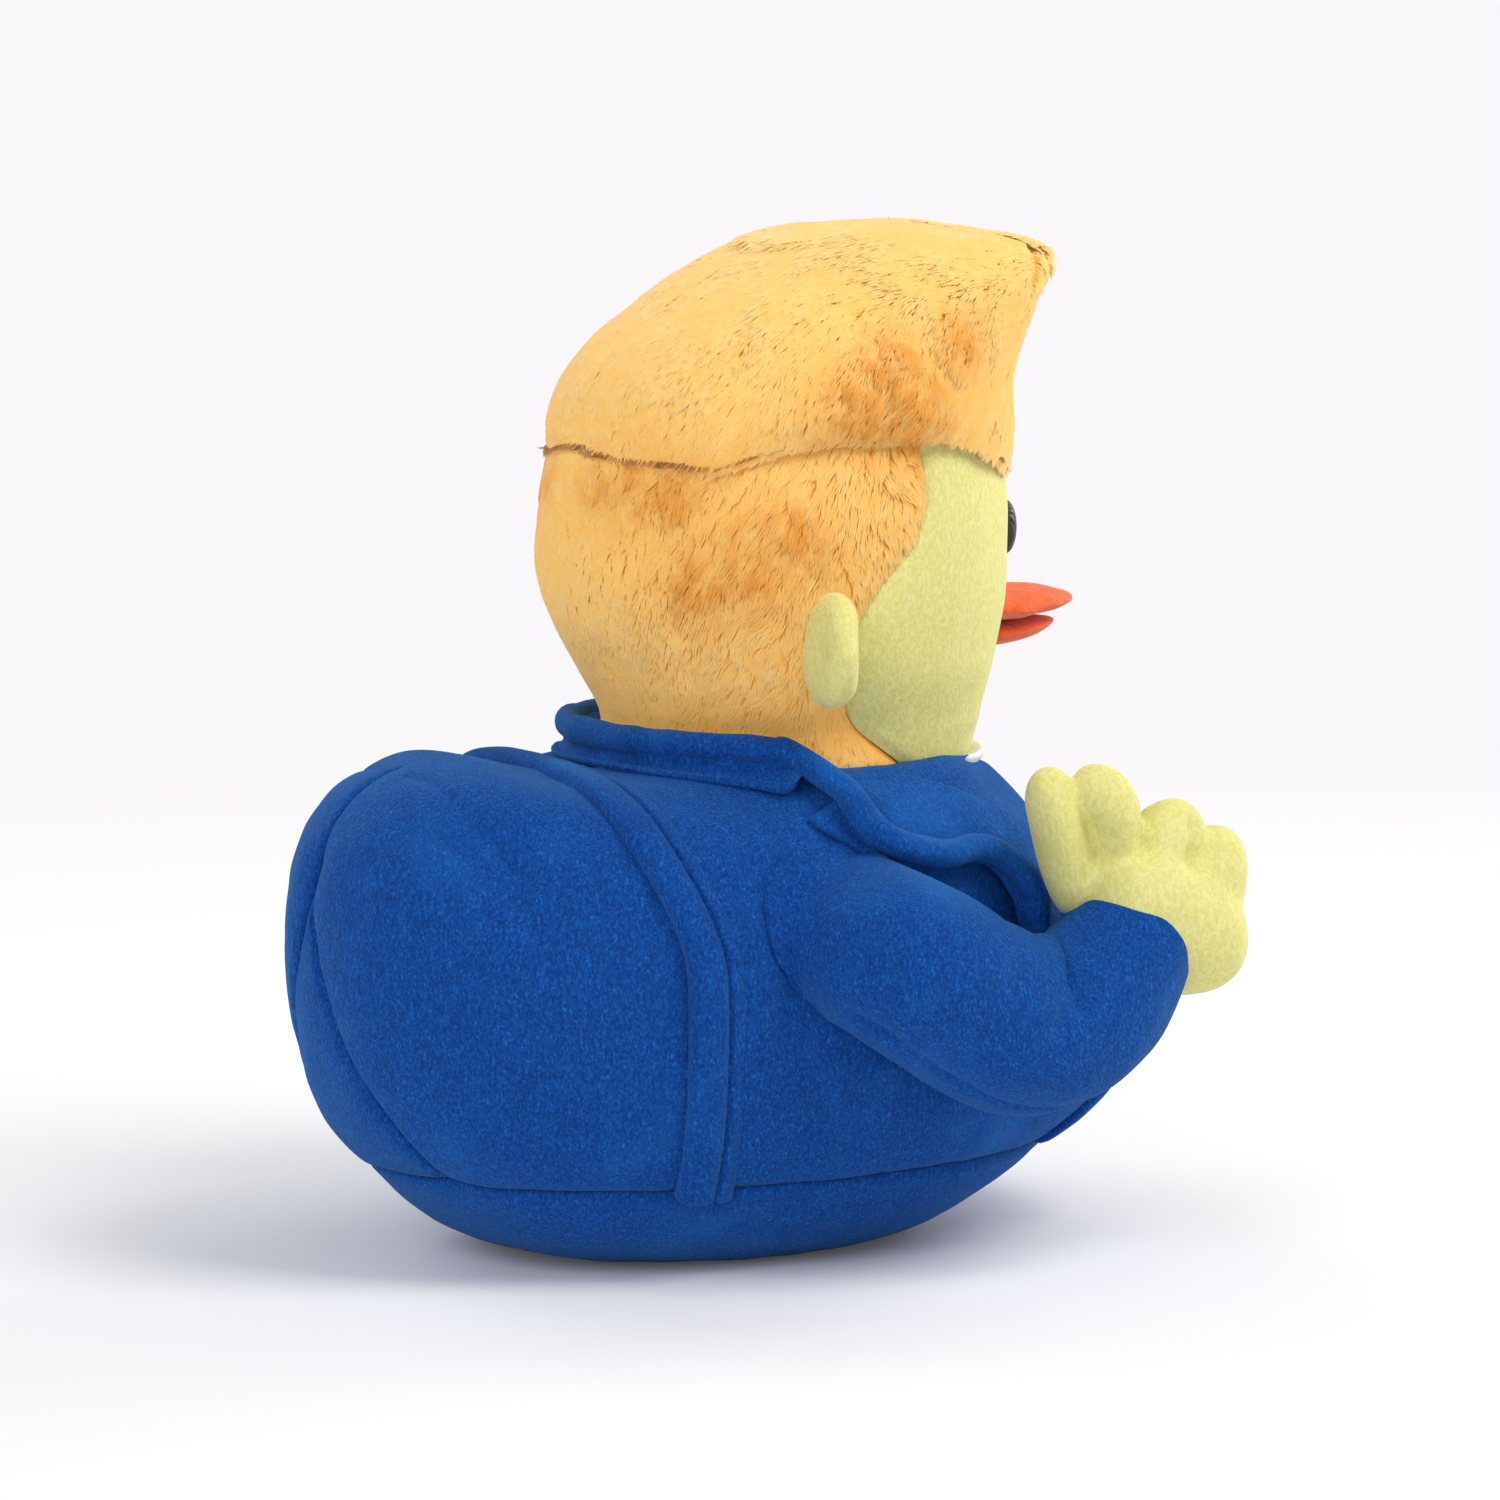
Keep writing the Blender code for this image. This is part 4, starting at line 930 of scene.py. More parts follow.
# a rolled edge of cloth: a round tube along a line of places
def rolledEdge(name, line, half, finish, middle, around=20, rows=170):
    line = np.asarray(line)

    def tube(w, v):
        at = alongRows(line, v)
        ahead = unit(alongRows(line, np.minimum(v + 0.012, 1)) - alongRows(line, np.maximum(v - 0.012, 0)))
        up = at - middle
        up = unit(up - ahead * (up * ahead).sum(-1, keepdims=True))
        side = np.cross(ahead, up)
        angle = (2 * math.pi * w)[:, None]
        close = np.sqrt(np.maximum(1 - np.abs(2 * v - 1) ** 30, 0))
        soft = 1 + 0.10 * ripple(at, 0.011, 15)
        return at + (up * np.cos(angle) + side * np.sin(angle)) * (half(v) * close * soft)[:, None]

    return newObject(name, gridMesh(name, tube, around, rows, ring=True), finish)


# places on the middle of the collar's roll, from degrees round from the back
def collarRoll(away, side=1):
    radius, height, _ = collar["roll"]
    turn = np.radians(np.asarray(away, float)) * side
    drop = np.interp(np.abs(np.degrees(turn)), *np.array(collar["drop"]).T)
    return np.stack(
        [np.sin(turn) * radius, collar["neck"] / mm + np.cos(turn) * radius, height - drop], -1,
    ) * mm


def makeCollar(blue):
    profile = np.array(collar["profile"])
    dropTurns, drops = np.array(collar["drop"]).T

    def sheet(u, v):
        turn = np.radians(collar["endTurn"]) * (2 * v - 1)
        away = np.degrees(np.abs(turn))
        start, end = collar["notch"]
        notch = eased((away - start) / (end - start))
        rows = alongRows(profile, u * (1 - collar["notchShare"] * notch))
        radius, height, rest = np.moveaxis(rows, -1, 0)
        height = height - np.interp(away, dropTurns, drops)
        size, turnOfCurl, reach = collar["curl"]
        curl = swelling(away, 1, turnOfCurl, reach) * eased((u - 0.55) / 0.45)
        wave = 0.4 * np.sin(turn * 9 + 0.6) * eased(u)
        radius = (radius + wave + curl * size) * mm
        height = (height + curl * size) * mm
        place = np.stack([np.sin(turn) * radius, collar["neck"] + np.cos(turn) * radius, height], -1)
        rest = rest * (1 - notch) * (1 - curl)
        for i in np.nonzero(rest > 0.02)[0]:
            ground, out, _, _ = probe.ray_cast(Vector((place[i, 0], place[i, 1], 0.2)), Vector((0, 0, -1)))
            if ground is None:
                continue
            low = ground + out * collar["rest"]
            place[i] = place[i] * (1 - rest[i]) + np.array(low) * rest[i]
        return place

    middle = np.array((0, collar["neck"], 0.100))
    made = stripPiece(
        "jacketCollar", sheet, 190, blue, middle, collar["thick"], around=60, edge=0.40, ends=60,
    )
    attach(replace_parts(made, "jacket_collar"), "torso")
    half = collar["roll"][2] * mm
    line = collarRoll(np.linspace(-collar["rollTurn"], collar["rollTurn"], 40))
    roll = rolledEdge("jacketCollarRoll", line, lambda v: half + 0 * v, blue, middle, rows=200)
    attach(roll, "torso")


lapel = {
    "thick": 0.0021, "rollHalf": (0.0031, 0.0012), "slimFrom": 0.72,
    "near": 0.0036, "below": 0.0024, "nearShare": 0.7, "under": 0.0030,
    # lines from the collar to the waist: turn in degrees from the front, and height and stand off the
    # chest in millimetres
    "base": (
        (80, 107, 1.0), (77, 106, 1.5), (74, 104.6, 2.5), (70.5, 103.6, 3), (67.5, 102.5, 3),
        (64, 101.2, 3), (60, 99.5, 3), (56.5, 97.7, 3), (52.5, 95.7, 3), (49, 93.5, 3), (46.5, 91.2, 2.8),
        (45, 87.5, 2.5), (44, 82, 2), (42, 76, 1.6), (35, 70, 1.2), (25, 66, 1), (14, 63, 0.8),
        (4, 61, 0.5),
    ),
    "rise": (
        (84.5, 105, 2), (83.5, 103.2, 1.9), (81.7, 101, 1.8), (79, 98.9, 1.8), (76, 97, 1.9),
        (72.5, 95.4, 2), (67.8, 93.8, 2.2), (63.5, 93.1, 2.5), (59.5, 91.7, 2.8), (56.3, 89.5, 3),
        (53.8, 86.5, 3), (52.6, 82, 3), (52.8, 77, 2.8), (52, 72, 2.4), (43, 67, 2), (31, 63.5, 1.6),
        (17, 61, 1.2), (6, 59.6, 0.8),
    ),
    "roll": (
        (89.6, 102.9, 5.2), (88.7, 100.6, 5.2), (88, 97.8, 5.2), (86.3, 94.7, 5.3), (83.5, 92.3, 5.4),
        (79.5, 90.4, 5.5), (74.3, 88.9, 5.7), (69.3, 89.3, 5.9), (65.5, 88.4, 6.1), (62.3, 86, 6.1),
        (59.8, 82.5, 6.0), (59, 77.5, 5.8), (60.3, 72.4, 5.4), (60, 68.5, 4.8), (50, 64.5, 4.0),
        (36, 61.5, 3.2), (20, 59.5, 2.4), (8, 58.5, 1.6),
    ),
    "fall": (
        (92.3, 101, 3.4), (91, 98.4, 3.2), (90, 95.8, 3.4), (87.8, 92.2, 3.6), (85, 89.8, 3.8),
        (81.2, 88.2, 3.8), (76, 86.9, 4.2), (71.5, 87.3, 4.6), (68.5, 86.9, 5), (66, 84.6, 5.2),
        (64.6, 81, 5.2), (64, 77, 5.2), (65, 72.5, 4.8), (64.5, 68.5, 4.2), (54, 62.5, 3),
        (39, 59.5, 2.4), (22, 57.8, 1.8), (10, 57, 1.2),
    ),
    "edge": (
        (93.5, 99.8, 1.6), (92, 96.9, 1.6), (90, 94, 1.8), (87.6, 91.2, 1.8), (84.6, 89, 2),
        (80.4, 88.4, 2.2), (75, 88, 2.4), (70, 88.2, 2.6), (67, 86.6, 2.6), (64.2, 84.6, 2.6),
        (62.6, 81, 2.6), (61.8, 77, 2.6), (62.6, 72.5, 2.4), (62, 68.5, 2.2), (52, 63, 1.6),
        (37, 60, 1.3), (21, 58.2, 1), (9.5, 57.5, 0.8),
    ),
    # how far the cloth drops beside the roll
    "sink": (3.4, 3.4, 3.4, 3.4, 3.4, 3.4, 3.4, 3.2, 2.8, 2.6, 2.4, 2.2, 2, 1.8, 1.6, 1.4, 1, 0.8),
}


def makeLapels(blue):
    for side, name in ((-1, "Right"), (1, "Left")):
        curves = {}
        for key in ("base", "rise", "roll", "fall", "edge"):
            rows = np.array(lapel[key], float)
            curves[key] = onBody(rows[:, :2], side, rows[:, 2] * mm)
        rows = np.array(lapel["roll"])
        foot = onBody(rows[:, :2], side)
        up = unit(curves["roll"] - foot)
        inwards = unit(curves["rise"] - curves["roll"])
        outwards = unit(curves["fall"] - curves["roll"])
        sink = np.array(lapel["sink"])[:, None] * mm
        near = curves["roll"] + inwards * lapel["near"] - up * sink * lapel["nearShare"]
        below = curves["roll"] + outwards * lapel["below"] - up * sink
        under = curves["roll"] - up * lapel["under"]
        line = np.vstack([collarRoll((54, 58, 62, 65.5), side), curves["roll"] - up * 0.0002])
        curves = np.array([curves["base"], curves["rise"], near, under, below, curves["edge"]])

        def sheet(u, v):
            lines = np.stack([alongRows(curve, v) for curve in curves])
            found = alongRows(lines, u, np.arange(len(u)))
            return found + unit(found - bodyMiddle) * (0.00025 * ripple(found, 0.013, 9))[:, None]

        made = stripPiece(
            "lapel" + name, sheet, 170, blue, bodyMiddle, lapel["thick"], around=60, edge=0.40, ends=30,
        )
        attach(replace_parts(made, "lapel_" + name.lower()), "torso")

        def half(v):
            thick, thin = lapel["rollHalf"]
            slim = eased((v - lapel["slimFrom"]) / (1 - lapel["slimFrom"]))
            return thick - (thick - thin) * slim

        roll = rolledEdge("lapelRoll" + name, line, half, blue, bodyMiddle, rows=220)
        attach(roll, "torso")


shirtCollar = {
    "turn": 48, "radius": 0.0425, "spread": 0.0042, "height": 0.1035, "tall": 0.0036, "thick": 0.0018,
}


def makeShirtCollar(white):
    shape = shirtCollar

    def band(u, v):
        turn = np.radians(shape["turn"]) * (2 * v - 1)
        radius = shape["radius"] + shape["spread"] * (1 - u) * np.cos(turn) ** 2
        height = shape["height"] + shape["tall"] * (1 - u)
        return np.stack([np.sin(turn) * radius, collar["neck"] - np.cos(turn) * radius, height + 0 * u], -1)

    middle = np.array((0, collar["neck"], 0.10))
    made = stripPiece("shirtCollar", band, 90, white, middle, shape["thick"], around=24)
    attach(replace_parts(made, "shirt_collar"), "torso")


# arms and hands, for the duck's left side and mirrored for its right

arm = {
    "places": (
        (0.0440, 0.0040, 0.0800), (0.0680, -0.0130, 0.0700), (0.0715, -0.0285, 0.0595),
        (0.0720, -0.0430, 0.0520), (0.0705, -0.0580, 0.0570), (0.0680, -0.0710, 0.0705),
    ),
    "radii": (0.0182, 0.0182, 0.0182, 0.0170, 0.0170, 0.0142),
    "seamTurn": 155, "reach": 0.0052, "cuffFrom": 0.93, "cuffNarrow": 0.08,
    "crook": 0.0042, "crookShare": 0.56, "rootEnd": 0.15,
    "blendStart": (0.0560, 0.0040, 0.0790), "blendEnd": (0.0690, -0.0215, 0.0640),
}
hand = {
    "wrist": (0.0680, -0.0710, 0.0705),
    # middle line in millimetres from the wrist, radius, and how blunt the ends are
    "palm": (((0, -17, -4), (0, -8, 5), (0, 4, 13)), 14.8, 2.6),
    "thumb": (((-3, 11, 7), (-2.5, 16, 21.5), (-2, 20.5, 35.5)), 6.3, 3.0),
    "index": (((2, 3, 18), (3.5, 7, 28), (0.5, 11.5, 34.5)), 6.2, 3.0),
    "middle": (((1, 1, 12), (1, -5, 18), (1, -11, 23.5)), 8.8, 3.0),
    "ring": (((0.5, -14, 1), (0.5, -17, 9), (0.5, -19.5, 17.5)), 9.4, 3.0),
    "creases": (
        ((-5, 13.5, 29), (1, 11, 27), (5, 8.5, 24.5)), ((6.5, 2.5, 25), (7, 1.5, 20), (8, 1, 16)),
        ((7, -10.5, 24), (8, -10, 19), (9, -9.5, 14)),
    ),
}


def limbFrames(share):
    places = np.array(arm["places"])
    ahead = unit(alongRows(places, share + 0.004) - alongRows(places, share - 0.004))
    bend = unit(np.cross(ahead, (1.0, 0.0, 0.0)))
    return alongRows(places, share), ahead, bend, np.cross(bend, ahead)


def makeSleeve(side, name, blue):
    radii = np.array(arm["radii"])[:, None]
    loop = onBody(jacket["armhole"] + jacket["armhole"][:1], -1, -0.0012) * (-1, 1, 1)
    loop = smoothLine(loop, 240)
    _, _, bend, aside = limbFrames(np.array([0.16]))
    spokes = loop - loop.mean(0)
    angle = np.arctan2(spokes @ aside[0], spokes @ bend[0])
    order = np.argsort(angle)
    angle, loop = angle[order], loop[order]

    def ring(share, turn):
        middle, _, bend, aside = limbFrames(share)
        radius = alongRows(radii, share)[..., 0]
        return middle + (bend * np.cos(turn)[..., None] + aside * np.sin(turn)[..., None]) * radius[..., None]

    def atLoop(turn):
        return np.stack([np.interp(turn, angle, loop[:, i], period=2 * math.pi) for i in range(3)], -1)

    seamTurn = math.radians(arm["seamTurn"])
    shares = np.linspace(0.2, 1.0, 120)
    lines = [
        seamAt(ring(shares, np.full(120, seamTurn)), 0.0013, 0.0011, 0.0006, 0.004, 0.00012),
        seamAt(
            ring(np.linspace(0.60, 0.66, 40), np.linspace(-0.75, 1.1, 40)), 0.0012, 0.0018, 0.0008, 0.005,
        ),
        seamAt(
            ring(np.linspace(0.50, 0.56, 40), np.linspace(0.15, 1.5, 40)), 0.0006, 0.0020, 0.0004, 0.005,
        ),
    ]

    def skin(u, v):
        turn = 2 * math.pi * u - math.pi
        share = 0.02 + 0.98 * np.clip(v / arm["cuffFrom"], 0, 1)
        place = ring(share, turn)
        middle, ahead, _, _ = limbFrames(share)
        crook = arm["crook"] * np.exp(-((turn / 0.9) ** 2) - ((share - arm["crookShare"]) / 0.13) ** 2)
        narrow = 1 - arm["cuffNarrow"] * np.clip((share - 0.88) / 0.12, 0, 1) ** 2
        place = middle + (place - middle) * narrow[:, None]
        place = place + unit(place - middle) * crook[:, None]
        place = place + ahead * (arm["reach"] * eased((share - 0.75) / 0.25))[:, None]
        # the root follows the armhole's seam
        root = 1 - eased((share - 0.02) / arm["rootEnd"])
        place = place * (1 - root)[:, None] + atLoop(turn) * root[:, None]
        out = unit(place - middle)
        lift = 0.0005 * ripple(place, 0.026, 11) + 0.00015 * ripple(place, 0.011, 12)
        lift = lift + 0.0008 * np.sin(math.pi * np.clip(share, 0, 1))
        for seam in lines:
            lift = lift - groove(place, seam)
        place = place + out * (lift * (1 - root) ** 2)[:, None]
        outside = clearOfBody(place, 0.0004)
        place = np.where((share > 0.10)[:, None], outside, place)
        # the cuff is turned in
        turned = np.clip((v - arm["cuffFrom"]) / (1 - arm["cuffFrom"]), 0, 1)
        lip = np.sin(math.pi * np.clip(turned * 2, 0, 1)) * 0.0006
        inwards = eased(turned * 1.6) * 0.0022
        depth = turned**1.5 * 0.008
        return (place - out * inwards[:, None] + ahead * (lip - depth)[:, None]) * (side, 1, 1)

    middle = arm["places"][2] * np.array((side, 1, 1))
    mesh = gridMesh("sleeve" + name, skin, 110, 130, middle=middle)
    made = newObject("sleeve" + name, mesh, blue)
    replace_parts(made, "sleeve_" + name.lower(), "armhole_ring_" + name.lower())
    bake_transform(made)


def makeHand(side, name, yellow):
    wrist = np.array(hand["wrist"])
    bm = bmesh.new()
    for key in ("palm", "thumb", "index", "middle", "ring"):
        steps, radius, blunt = hand[key]
        line = wrist + np.array(steps, float) * mm
        for share in (1 - np.cos(np.linspace(0.03, 0.97, 25) * math.pi)) / 2:
            full = (1 - abs(2 * share - 1) ** blunt) ** 0.5
            place = Matrix.Translation(alongRows(line, share))
            bmesh.ops.create_icosphere(bm, subdivisions=3, radius=radius * mm * full, matrix=place)
    mesh = bpy.data.meshes.new("hand" + name)
    bm.to_mesh(mesh)
    bm.free()
    made = newObject("hand" + name, mesh, yellow)
    remesh = made.modifiers.new("oneSkin", "REMESH")
    remesh.mode, remesh.voxel_size, remesh.adaptivity = "VOXEL", 0.0008, 0
    soft = made.modifiers.new("soften", "SMOOTH")
    soft.factor, soft.iterations = 0.5, 9
    finalMesh(made)
    points = readPoints(made.data)
    normals = np.empty(len(made.data.vertices) * 3)
    made.data.vertices.foreach_get("normal", normals)
    normals = normals.reshape(-1, 3)
    lift = 0.0004 + 0.00035 * ripple(points, 0.014, 21)
    for crease in hand["creases"]:
        line = smoothLine((wrist / mm + np.array(crease)) * mm, 40)
        lift -= groove(points, seamAt(line, 0.0022, 0.0022, 0.0010, 0.006))
    points = (points + normals * lift[:, None]) * (side, 1, 1)
    writePoints(made.data, points)
    if side < 0:
        made.data.flip_normals()
    lower = name.lower()
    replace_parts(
        made, "hand_" + lower, "thumb_" + lower, "index_finger_" + lower, "middle_finger_" + lower,
        "ring_finger_" + lower,
    )
    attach(made, lower + "_arm")


# head

face = {"edgeTurns": (72, 92, 99, 99, 92, 81, 77, 77), "bottom": 0.1056, "seam": 0.1800}


def faceTurn(share):
    return np.radians(alongRows(np.array(face["edgeTurns"], float)[:, None], share)[..., 0])


headStart = float(head.levelAt(face["bottom"]))
headSeam = float(head.levelAt(face["seam"]))
faceLines = []
for side in (1, -1):
    shares = np.linspace(0, 1, 200)
    line = head.point(side * faceTurn(shares), headStart + (headSeam - headStart) * shares)
    faceLines.append(seamAt(line, 0.0010, 0.0014, 0.0008, 0.005))


def headSkin(turn, level, out):
    place = head.raw(turn, level)
    ahead = np.cos(turn)
    lift = out + 0.0003 * ripple(place, 0.03, 31)
    lift = lift + swelling(place[..., 2], *headShape["backSwell"]) * np.clip(-ahead, 0, 1)
    lift = lift + swelling(place[..., 2], *headShape["chinSwell"]) * np.clip(ahead + 0.25, 0, 1)
    for seam in faceLines:
        lift = lift - groove(place, seam)
    return place + head.out(turn, level) * lift[..., None]


def headBack(u, v):
    level = headStart + (headSeam - headStart) * v
    return headSkin(math.pi + (math.pi - faceTurn(v)) * (2 * u - 1), level, 0.0)


def makeHead(yellow, furBase):
    def front(u, v):
        level = headStart + (headSeam - headStart) * v
        return headSkin(faceTurn(v) * (2 * u - 1), level, 0.0006)

    made = sheetPiece("facePanel", front, 150, 90, yellow, headMiddle)
    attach(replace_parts(made, "face_panel"), "head")

    made = sheetPiece("hairBackCloth", headBack, 120, 80, furBase, headMiddle)
    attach(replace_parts(made, "hair_back_panel"), "head")


ear = {
    "turn": 104, "height": 0.1341, "tall": 0.0250, "deep": 0.0135, "thick": 0.0105, "off": 0.30,
    "dish": 0.0016,
}
upwards = np.array((0, 0, 1))


def makeEars(yellow):
    level = float(head.levelAt(ear["height"]))
    for side, name in ((-1, "Right"), (1, "Left")):
        turn = side * math.radians(ear["turn"])
        out = head.out(turn, np.array(level))
        out = unit(out * (1, 1, 0))
        across = np.array((-out[1], out[0], 0))
        centre = head.point(turn, np.array(level)) + out * ear["thick"] * ear["off"]

        def shape(angle, rise):
            lift = math.pi * (rise - 0.5)
            flat = np.cos(lift)
            fat = np.copysign(np.abs(flat) ** 0.85, flat)
            x = ear["thick"] / 2 * fat * np.sin(angle)
            y = ear["deep"] * fat * np.cos(angle)
            z = ear["tall"] / 2 * np.copysign(np.abs(np.sin(lift)) ** 0.95, np.sin(lift))
            narrow = 1 - 0.16 * np.clip(-z / ear["tall"] * 2, 0, 1)
            places = centre + across * (x * 1.15)[:, None] + out * (y * narrow)[:, None]
            places += upwards * z[:, None]
            dish = ear["dish"] * np.exp(-(((y - 0.006) / 0.0045) ** 2 + (z / 0.0065) ** 2)) * np.sign(x)
            places -= across * dish[:, None]
            return places + unit(places - centre) * (0.0003 * ripple(places, 0.012, 41))[:, None]

        made = newObject("ear" + name, roundMesh("ear" + name, shape, 72, 48), yellow)
        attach(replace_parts(made, "ear_" + name.lower()), "head")


eye = {"height": 0.156, "spread": 0.0165, "wide": 0.0042, "tall": 0.0060, "thick": 0.0022}


def makeEyes(black, white):
    level = float(head.levelAt(eye["height"]))
    for side, name in ((-1, "Right"), (1, "Left")):
        turn = side * math.asin(eye["spread"] / headShape["halfWidth"])
        # each eye also gets an eyeGlint: a small white dot high on the eye, a painted highlight that stands
        # for light glinting on it
        for part, finish, size, shift in (
            ("eye", black, 1.0, (0, 0, 0)), ("eyeGlint", white, 0.20, (-0.0012, 0, 0.0024)),
        ):
            out = unit(head.out(turn, np.array(level)) * (1, 1, 0))
            across = np.array((-out[1], out[0], 0))
            centre = head.point(turn, np.array(level)) + across * shift[0] + np.array((0, 0, shift[2]))
            centre = centre + out * (0.0006 if part == "eye" else 0.0019)

            def shape(angle, rise):
                lift = math.pi * (rise - 0.5)
                flat = np.cos(lift)
                x = eye["wide"] * size * flat * np.sin(angle)
                y = eye["thick"] * (size + 0.1) * flat * np.cos(angle)
                z = eye["tall"] * size * np.sin(lift)
                return centre + across * x[:, None] + out * y[:, None] + upwards * z[:, None]

            made = newObject(part + name, roundMesh(part + name, shape, 40, 28), finish)
            if part == "eye":
                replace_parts(made, "eye_" + name.lower())
            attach(made, "head")


bill = {
    "height": 0.134, "reach": 0.026, "halfWidth": 0.018, "upper": 0.0056, "lower": 0.0044,
    "lowerShare": 0.82, "narrow": 0.25,
    "nostril": (0.0048, -0.0100, 0.0075), "nostrilDepth": 0.0009, "nostrilReach": (0.0011, 0.0022),
}


def makeBill(orange):
    root = head.point(0.0, head.levelAt(bill["height"]))
    for name, node, scale, thick, sign in (
        ("upperBill", "upper_bill", 1.0, bill["upper"], 1),
        ("lowerBill", "lower_bill", bill["lowerShare"], bill["lower"], -1),
    ):

        def shape(turn, level):
            lift = math.pi * (level - 0.5)
            flat = np.cos(lift)
            ahead = np.cos(turn) * flat
            width = bill["halfWidth"] * scale * (1 - bill["narrow"] * np.clip(ahead, 0, 1))
            length = np.where(ahead > 0, bill["reach"] * scale, bill["halfWidth"] * scale)
            dome = sign * thick * (0.12 + 0.5 * np.sqrt(np.clip(1 - ahead**2, 0, 1)) * 0.6)
            middle = sign * thick * 0.5 + 0.0015 * np.clip(ahead, 0, 1) ** 2
            rise = middle + thick * np.sin(lift) * 0.52 + np.where(
                np.sin(lift) * sign > 0, dome * np.abs(np.sin(lift)), 0,
            )
            places = root + np.stack([width * np.sin(turn) * flat, -length * ahead, rise], -1)
            if sign > 0:
                wide, long = bill["nostrilReach"]
                for edge in (-1, 1):
                    away = places - (root + np.array(bill["nostril"]) * (edge, 1, 1))
                    near = away[:, 0] ** 2 / wide**2 + away[:, 1] ** 2 / long**2
                    places[:, 2] -= bill["nostrilDepth"] * np.exp(-near)
            return places + np.stack([0 * rise, 0 * rise, 0.0003 * ripple(places, 0.012, 51)], -1)

        made = newObject(name, roundMesh(name, shape, 110, 60), orange)
        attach(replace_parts(made, node), "head")


# fur

fur = {
    "length": 0.0052, "width": 0.00052, "hairTop": 62000, "quiff": 19500, "hairBack": 39000,
    "quickShare": 0.25,
    "seamShort": 0.58, "napeShort": 0.25,
}


# an even scatter of pairs of shares
def spread(count):
    step = np.arange(count) + 0.5
    return np.stack([step * 0.7548776662466927 % 1, step * 0.5698402909980532 % 1], -1)


# even places over a surface of two shares, weighed by its area
def scatter(place, count):
    steps = np.linspace(0, 1, 121)
    across, along = np.meshgrid(steps, steps)
    grid = place(across.ravel(), along.ravel()).reshape(121, 121, 3)
    area = np.linalg.norm(np.cross(grid[:-1, 1:] - grid[:-1, :-1], grid[1:, :-1] - grid[:-1, :-1]), axis=-1)
    rows = np.concatenate([[0], np.cumsum(area.sum(1))])
    rows /= rows[-1]
    pairs = spread(count)
    v = np.interp(pairs[:, 0], rows, steps)
    row = np.clip((v * 120).astype(int), 0, 119)
    sums = np.concatenate([np.zeros((120, 1)), np.cumsum(area, 1)], 1)
    sums /= sums[:, -1:]
    u = np.empty(count)
    for i in range(120):
        chosen = row == i
        u[chosen] = np.interp(pairs[chosen, 1], sums[i], steps)
    return u, v, area.sum()


# closed three-sided strands that rise from their roots, lean along the flow and gather in small locks
def strandMesh(name, roots, outs, flows, lengths, widths, shades, patches, finish, lift, seed):
    count = len(roots)
    chance = np.random.default_rng(seed)
    sway = np.stack([ripple(roots, 0.013, seed + i) for i in range(3)], -1) * 0.22
    sway = sway + chance.normal(size=(count, 3)) * 0.09
    flows = flows + sway
    flows = unit(flows - outs * (flows * outs).sum(-1, keepdims=True))
    rise = lift[:, None]
    middle = roots + (flows * 0.86 + outs * (rise + 0.24)) * (lengths * 0.48)[:, None]
    tips = roots + (flows + outs * rise) * lengths[:, None]
    locks = np.arange(0, count, 9)
    tree = KDTree(len(locks))
    for i, lock in enumerate(locks):
        tree.insert(Vector(roots[lock] + 0.0009 * chance.normal(size=3)), i)
    tree.balance()
    own = np.array([locks[tree.find(Vector(root))[1]] for root in roots])
    pull = np.clip(0.45 + 0.2 * ripple(roots, 0.02, seed + 5), 0.2, 0.7)[:, None]
    tips = tips * (1 - pull) + (tips[own] + (roots - roots[own]) * 0.12) * pull
    middle = middle * (1 - pull * 0.45) + (middle[own] + (roots - roots[own]) * 0.45) * pull * 0.45
    side = unit(np.cross(outs, flows))
    angles = (math.pi / 2, math.pi * 7 / 6, math.pi * 11 / 6)
    spokes = [side * math.cos(angle) + outs * math.sin(angle) for angle in angles]
    base = [roots - outs * 0.0006 + spoke * (widths * 0.55)[:, None] for spoke in spokes]
    waist = [middle + spoke * (widths * 0.46)[:, None] for spoke in spokes]
    points = np.stack(base + waist + [tips], 1).reshape(-1, 3)
    pattern = (
        (0, 2, 1), (3, 4, 6), (4, 5, 6), (5, 3, 6), (0, 1, 4), (0, 4, 3), (1, 2, 5), (1, 5, 4), (2, 0, 3),
        (2, 3, 5),
    )
    faces = (np.arange(count)[:, None, None] * 7 + np.array(pattern)[None]).reshape(-1, 3)
    mesh = bpy.data.meshes.new(name)
    mesh.vertices.add(len(points))
    mesh.vertices.foreach_set("co", points.astype(np.float32).ravel())
    mesh.loops.add(faces.size)
    mesh.loops.foreach_set("vertex_index", faces.astype(np.int32).ravel())
    mesh.polygons.add(len(faces))
    mesh.polygons.foreach_set("loop_start", np.arange(0, faces.size, 3, dtype=np.int32))
    mesh.update(calc_edges=True)
    shades = shades * 0.55 + shades[own] * 0.45
    tones = np.zeros((count, 7, 4), np.float32)
    tones[:, :3, 0], tones[:, 3:6, 0], tones[:, 6, 0] = 0.0, 0.55, 1.0
    tones[..., 1], tones[..., 2], tones[..., 3] = shades[:, None], patches[:, None], 1
    layer = mesh.attributes.new("strand", "FLOAT_COLOR", "POINT")
    layer.data.foreach_set("color", tones.ravel())
    made = newObject(name, mesh, finish)
    # shaded mostly as the skin under them, so that the pile reads as one soft surface
    facing = np.stack([unit(outs * 1.7 + way) for way in spokes] * 2 + [unit(outs * 1.7 + flows * 0.5)], 1)
    mesh.normals_split_custom_set_from_vertices(facing.reshape(-1, 3).tolist())
    return made


patchSpots = (  # where the pile stands open and its strands are coloured darker: place in millimetres, reach
    ((-50, -15, 187), 11), ((-49.5, -26, 186), 11), ((-50, -22, 195), 9), ((-46, -42, 200), 7),
    ((-41, 6, 154), 11), ((-34, 15, 150), 10), ((-45, 0, 158), 9), ((-22, 24, 169), 8),
    ((-30, 19, 168), 8), ((-12, 27, 169), 6), ((-46, -28, 180), 8),
)


